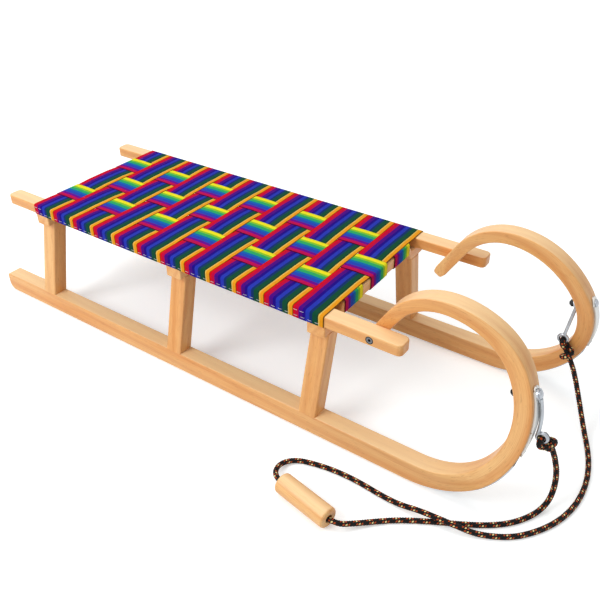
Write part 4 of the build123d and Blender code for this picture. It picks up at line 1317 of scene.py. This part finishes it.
def make_screws():
    """Geometry Nodes that set a head on each point, along its normal, with a dark cross of painted
    shade for its slot.
    """
    tree, start = geometry_tree(
        "screw_heads", ("Head Radius", "Float"), ("Head Rise", "Float"), ("Steel", "Material")
    )
    radius, rise = start["Head Radius"], start["Head Rise"]
    dome = node(tree, "GeometryNodeMeshUVSphere", {"Segments": 20, "Rings": 8, "Radius": 1.0})
    head = node(
        tree, "GeometryNodeTransform",
        {"Geometry": dome.outputs["Mesh"], "Scale": joined(tree, radius, radius, rise)},
    )
    # the slot is two thin boxes, marked so that they carry painted shade, not a cut
    slot_size = joined(
        tree, calc(tree, "MULTIPLY", radius, 1.05), calc(tree, "MULTIPLY", radius, 0.2),
        calc(tree, "MULTIPLY", rise, 2.1),
    )
    slot = node(tree, "GeometryNodeMeshCube", {"Size": slot_size})
    crossed = node(
        tree, "GeometryNodeTransform",
        {"Geometry": slot.outputs["Mesh"], "Rotation": (0.0, 0.0, math.pi / 2)},
    )
    cross = together(tree, slot.outputs["Mesh"], crossed.outputs[0])
    marked = node(
        tree, "GeometryNodeStoreNamedAttribute", {"Geometry": cross, "Name": "slot", "Value": 1.0},
        data_type="FLOAT", domain="POINT",
    )
    screw = together(tree, head.outputs[0], marked.outputs[0])
    spots = node(tree, "GeometryNodeMeshToPoints", {"Mesh": start["Geometry"]})
    way = node(tree, "GeometryNodeInputNamedAttribute", {"Name": "way"}, data_type="FLOAT_VECTOR")
    turned = node(
        tree, "FunctionNodeAlignRotationToVector", {"Vector": way.outputs[0]}, axis="Z"
    )
    driven = node(
        tree, "GeometryNodeInstanceOnPoints",
        {"Points": spots.outputs[0], "Instance": screw, "Rotation": turned.outputs[0]},
    )
    return finish_tree(tree, driven.outputs[0], start["Steel"], smooth=False)


class SLED_OT_screws(bpy.types.Operator):
    """Drives the wood screws of the shoes and horn plates"""

    bl_idname = "sled.screws"
    bl_label = "Drive the Screws"

    def execute(self, context):
        steel = context.scene.sled.steel
        finish, tree, shader = new_material("screw_steel", Metallic=1.0, Roughness=0.35)
        slot = node(tree, "ShaderNodeAttribute", {}, attribute_name="slot").outputs["Fac"]
        place = node(tree, "ShaderNodeTexCoord").outputs["Object"]
        scuffs = noise(tree, place, (900, 900, 900), 2)
        # painted shade: the slot's cross is coloured near black
        dark = [c * 0.12 for c in steel.bright]
        feed(tree, shader, blended(tree, slot, steel.bright[:], dark), None, scuffs, 0.0001, 0.3)
        spots, ways = [], []
        for side, way in SIDES.items():
            low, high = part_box(f"{side}_runner_shoe")
            middle = way * (max(abs(low.y), abs(high.y)) - steel.shoe_width / 2)
            count = int((steel.crown_x - low.x) / steel.shoe_pitch) + 1
            for number in range(count):
                spots.append((low.x + steel.shoe_inset + number * steel.shoe_pitch, middle, 0.0))
                ways.append((0.0, 0.0, -1.0))
            plate_low, plate_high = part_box(f"{side}_horn_plate")
            bolt = box_middle(f"{side}_horn_bolt")
            z = plate_low.z + steel.plate_rounding
            rise = (steel.crown_z - z) / steel.bend_radius
            ahead = math.sqrt(1 - rise**2)
            x = plate_high.x - steel.bend_radius * (1 - ahead)
            y = bolt.y + way * steel.lean * (bolt.z - z)
            spots.append((x, y, z))
            ways.append((ahead, 0.0, -rise))
        screws = plain_object("screw_places", spots)
        directions = screws.data.attributes.new("way", "FLOAT_VECTOR", "POINT")
        for value, direction in zip(directions.data, ways):
            value.vector = direction
        driven = screws.modifiers.new("Screws", "NODES")
        driven.node_group = make_screws()
        set_inputs(
            driven, head_radius=steel.screw_radius, head_rise=steel.screw_rise, steel=finish
        )
        keep_piece(set_down("wood_screws", screws), "bright_steel")
        return {"FINISHED"}


# ---------------------------------------------------------------- stage
FLOOR_REACH = 12.0
# each lamp's place, the point that it faces and the length of its side
KEY_LAMP = ((-0.9, -2.1, 2.0), (0.0, 0.0, 0.15), 1.4)
TOP_LAMP = ((-0.2, 0.2, 2.4), (0.0, 0.0, 0.1), 2.0)


class SLED_OT_camera(bpy.types.Operator):
    """Sets up the camera"""

    bl_idname = "sled.camera"
    bl_label = "Set Up the Camera"

    def execute(self, context):
        stage = context.scene.sled.stage
        azimuth, height, roll = stage.camera_turn
        camera = add_object("sled_camera", bpy.data.cameras.new("sled_camera"))
        camera.data.lens = stage.lens
        camera.data.sensor_width = 36
        camera.data.clip_start = 0.05
        camera.location = stage.camera_place
        camera.rotation_mode = "QUATERNION"
        look = (
            Matrix.Rotation(azimuth, 4, "Z")
            @ Matrix.Rotation(math.pi / 2 - height, 4, "X")
            @ Matrix.Rotation(roll, 4, "Z")
        )
        camera.rotation_quaternion = look.to_quaternion()
        context.scene.camera = camera
        return {"FINISHED"}


def soft_box(name, place, aim, size, power):
    """A square lamp that faces a point."""
    lamp = bpy.data.lights.new(name, "AREA")
    lamp.shape = "SQUARE"
    lamp.size = size
    lamp.energy = power
    made = add_object(name, lamp)
    made.location = place
    made.rotation_mode = "QUATERNION"
    made.rotation_quaternion = (Vector(aim) - Vector(place)).to_track_quat("-Z", "Y")


def seen_directly(tree):
    """1 for what the camera sees, also in a mirror or through glass."""
    path = node(tree, "ShaderNodeLightPath").outputs
    either = calc(tree, "MAXIMUM", path["Is Camera Ray"], path["Is Glossy Ray"])
    return calc(tree, "MAXIMUM", either, path["Is Transmission Ray"])


class SLED_OT_stage(bpy.types.Operator):
    """Lays the pale floor and hangs the soft lamps"""

    bl_idname = "sled.stage"
    bl_label = "Set the Stage"

    def execute(self, context):
        stage = context.scene.sled.stage
        corners = [
            (x * FLOOR_REACH, y * FLOOR_REACH, 0) for x, y in ((-1, -1), (1, -1), (1, 1), (-1, 1))
        ]
        floor = plain_object("studio_floor", corners, faces=[(0, 1, 2, 3)])
        finish, tree, shader = new_material("studio_paper", Roughness=0.9, Specular_IOR_Level=0.1)
        shader.inputs["Base Color"].default_value = (*stage.floor, 1)
        place = node(tree, "ShaderNodeTexCoord").outputs["Object"]
        away = node(tree, "ShaderNodeVectorMath", {0: place}, operation="LENGTH").outputs["Value"]
        lift = levels(tree, away, 0.9, 3.5, stage.glow, 1.0)
        glow = node(tree, "ShaderNodeEmission", {"Color": (1, 1, 1, 1)})
        tree.links.new(calc(tree, "MULTIPLY", seen_directly(tree), lift), glow.inputs["Strength"])
        sum_of = node(tree, "ShaderNodeAddShader", {0: shader.outputs[0], 1: glow.outputs[0]})
        tree.links.new(sum_of.outputs[0], tree.nodes["Material Output"].inputs["Surface"])
        floor.data.materials.append(finish)

        world = bpy.data.worlds.new("studio_air")
        world.use_nodes = True
        sky = world.node_tree
        backdrop = sky.nodes["Background"]
        backdrop.inputs["Color"].default_value = (1, 1, 1, 1)
        strength = levels(sky, seen_directly(sky), 0.0, 1.0, stage.sky, 1.0)
        sky.links.new(strength, backdrop.inputs["Strength"])
        context.scene.world = world

        soft_box("key_lamp", *KEY_LAMP, stage.key)
        soft_box("top_lamp", *TOP_LAMP, stage.top)
        context.scene.view_settings.view_transform = "Standard"
        return {"FINISHED"}


# ---------------------------------------------------------------- panel
STEPS = (
    SLED_OT_camera, SLED_OT_rope, SLED_OT_stage, SLED_OT_wood, SLED_OT_steel,
    SLED_OT_legs, SLED_OT_runners, SLED_OT_plates, SLED_OT_rail_bolts, SLED_OT_screws,
    SLED_OT_cross_straps, SLED_OT_long_straps, SLED_OT_stitches,
)


class SLED_PT_panel(bpy.types.Panel):
    """Lists the steps and their settings"""

    bl_label = "Horn Sled"
    bl_space_type = "VIEW_3D"
    bl_region_type = "UI"
    bl_category = "Sled"

    def draw(self, context):
        for step in STEPS:
            self.layout.operator(step.bl_idname)
        settings = context.scene.sled
        for group in ("wood", "webbing", "steel", "rope", "stage"):
            box = self.layout.box()
            box.label(text=group.title())
            values = getattr(settings, group)
            for name in values.__annotations__:
                box.prop(values, name)


GROUPS = (SledWood, SledWebbing, SledSteel, SledRope, SledStage, SledSettings)


def register():
    for cls in (*GROUPS, *STEPS, SLED_PT_panel):
        bpy.utils.register_class(cls)
    bpy.types.Scene.sled = PointerProperty(type=SledSettings)


def unregister():
    del bpy.types.Scene.sled
    for cls in reversed((*GROUPS, *STEPS, SLED_PT_panel)):
        bpy.utils.unregister_class(cls)


def main():
    register()
    for step in STEPS:
        group, name = step.bl_idname.split(".")
        getattr(getattr(bpy.ops, group), name)()


if __name__ == "__main__":
    main()
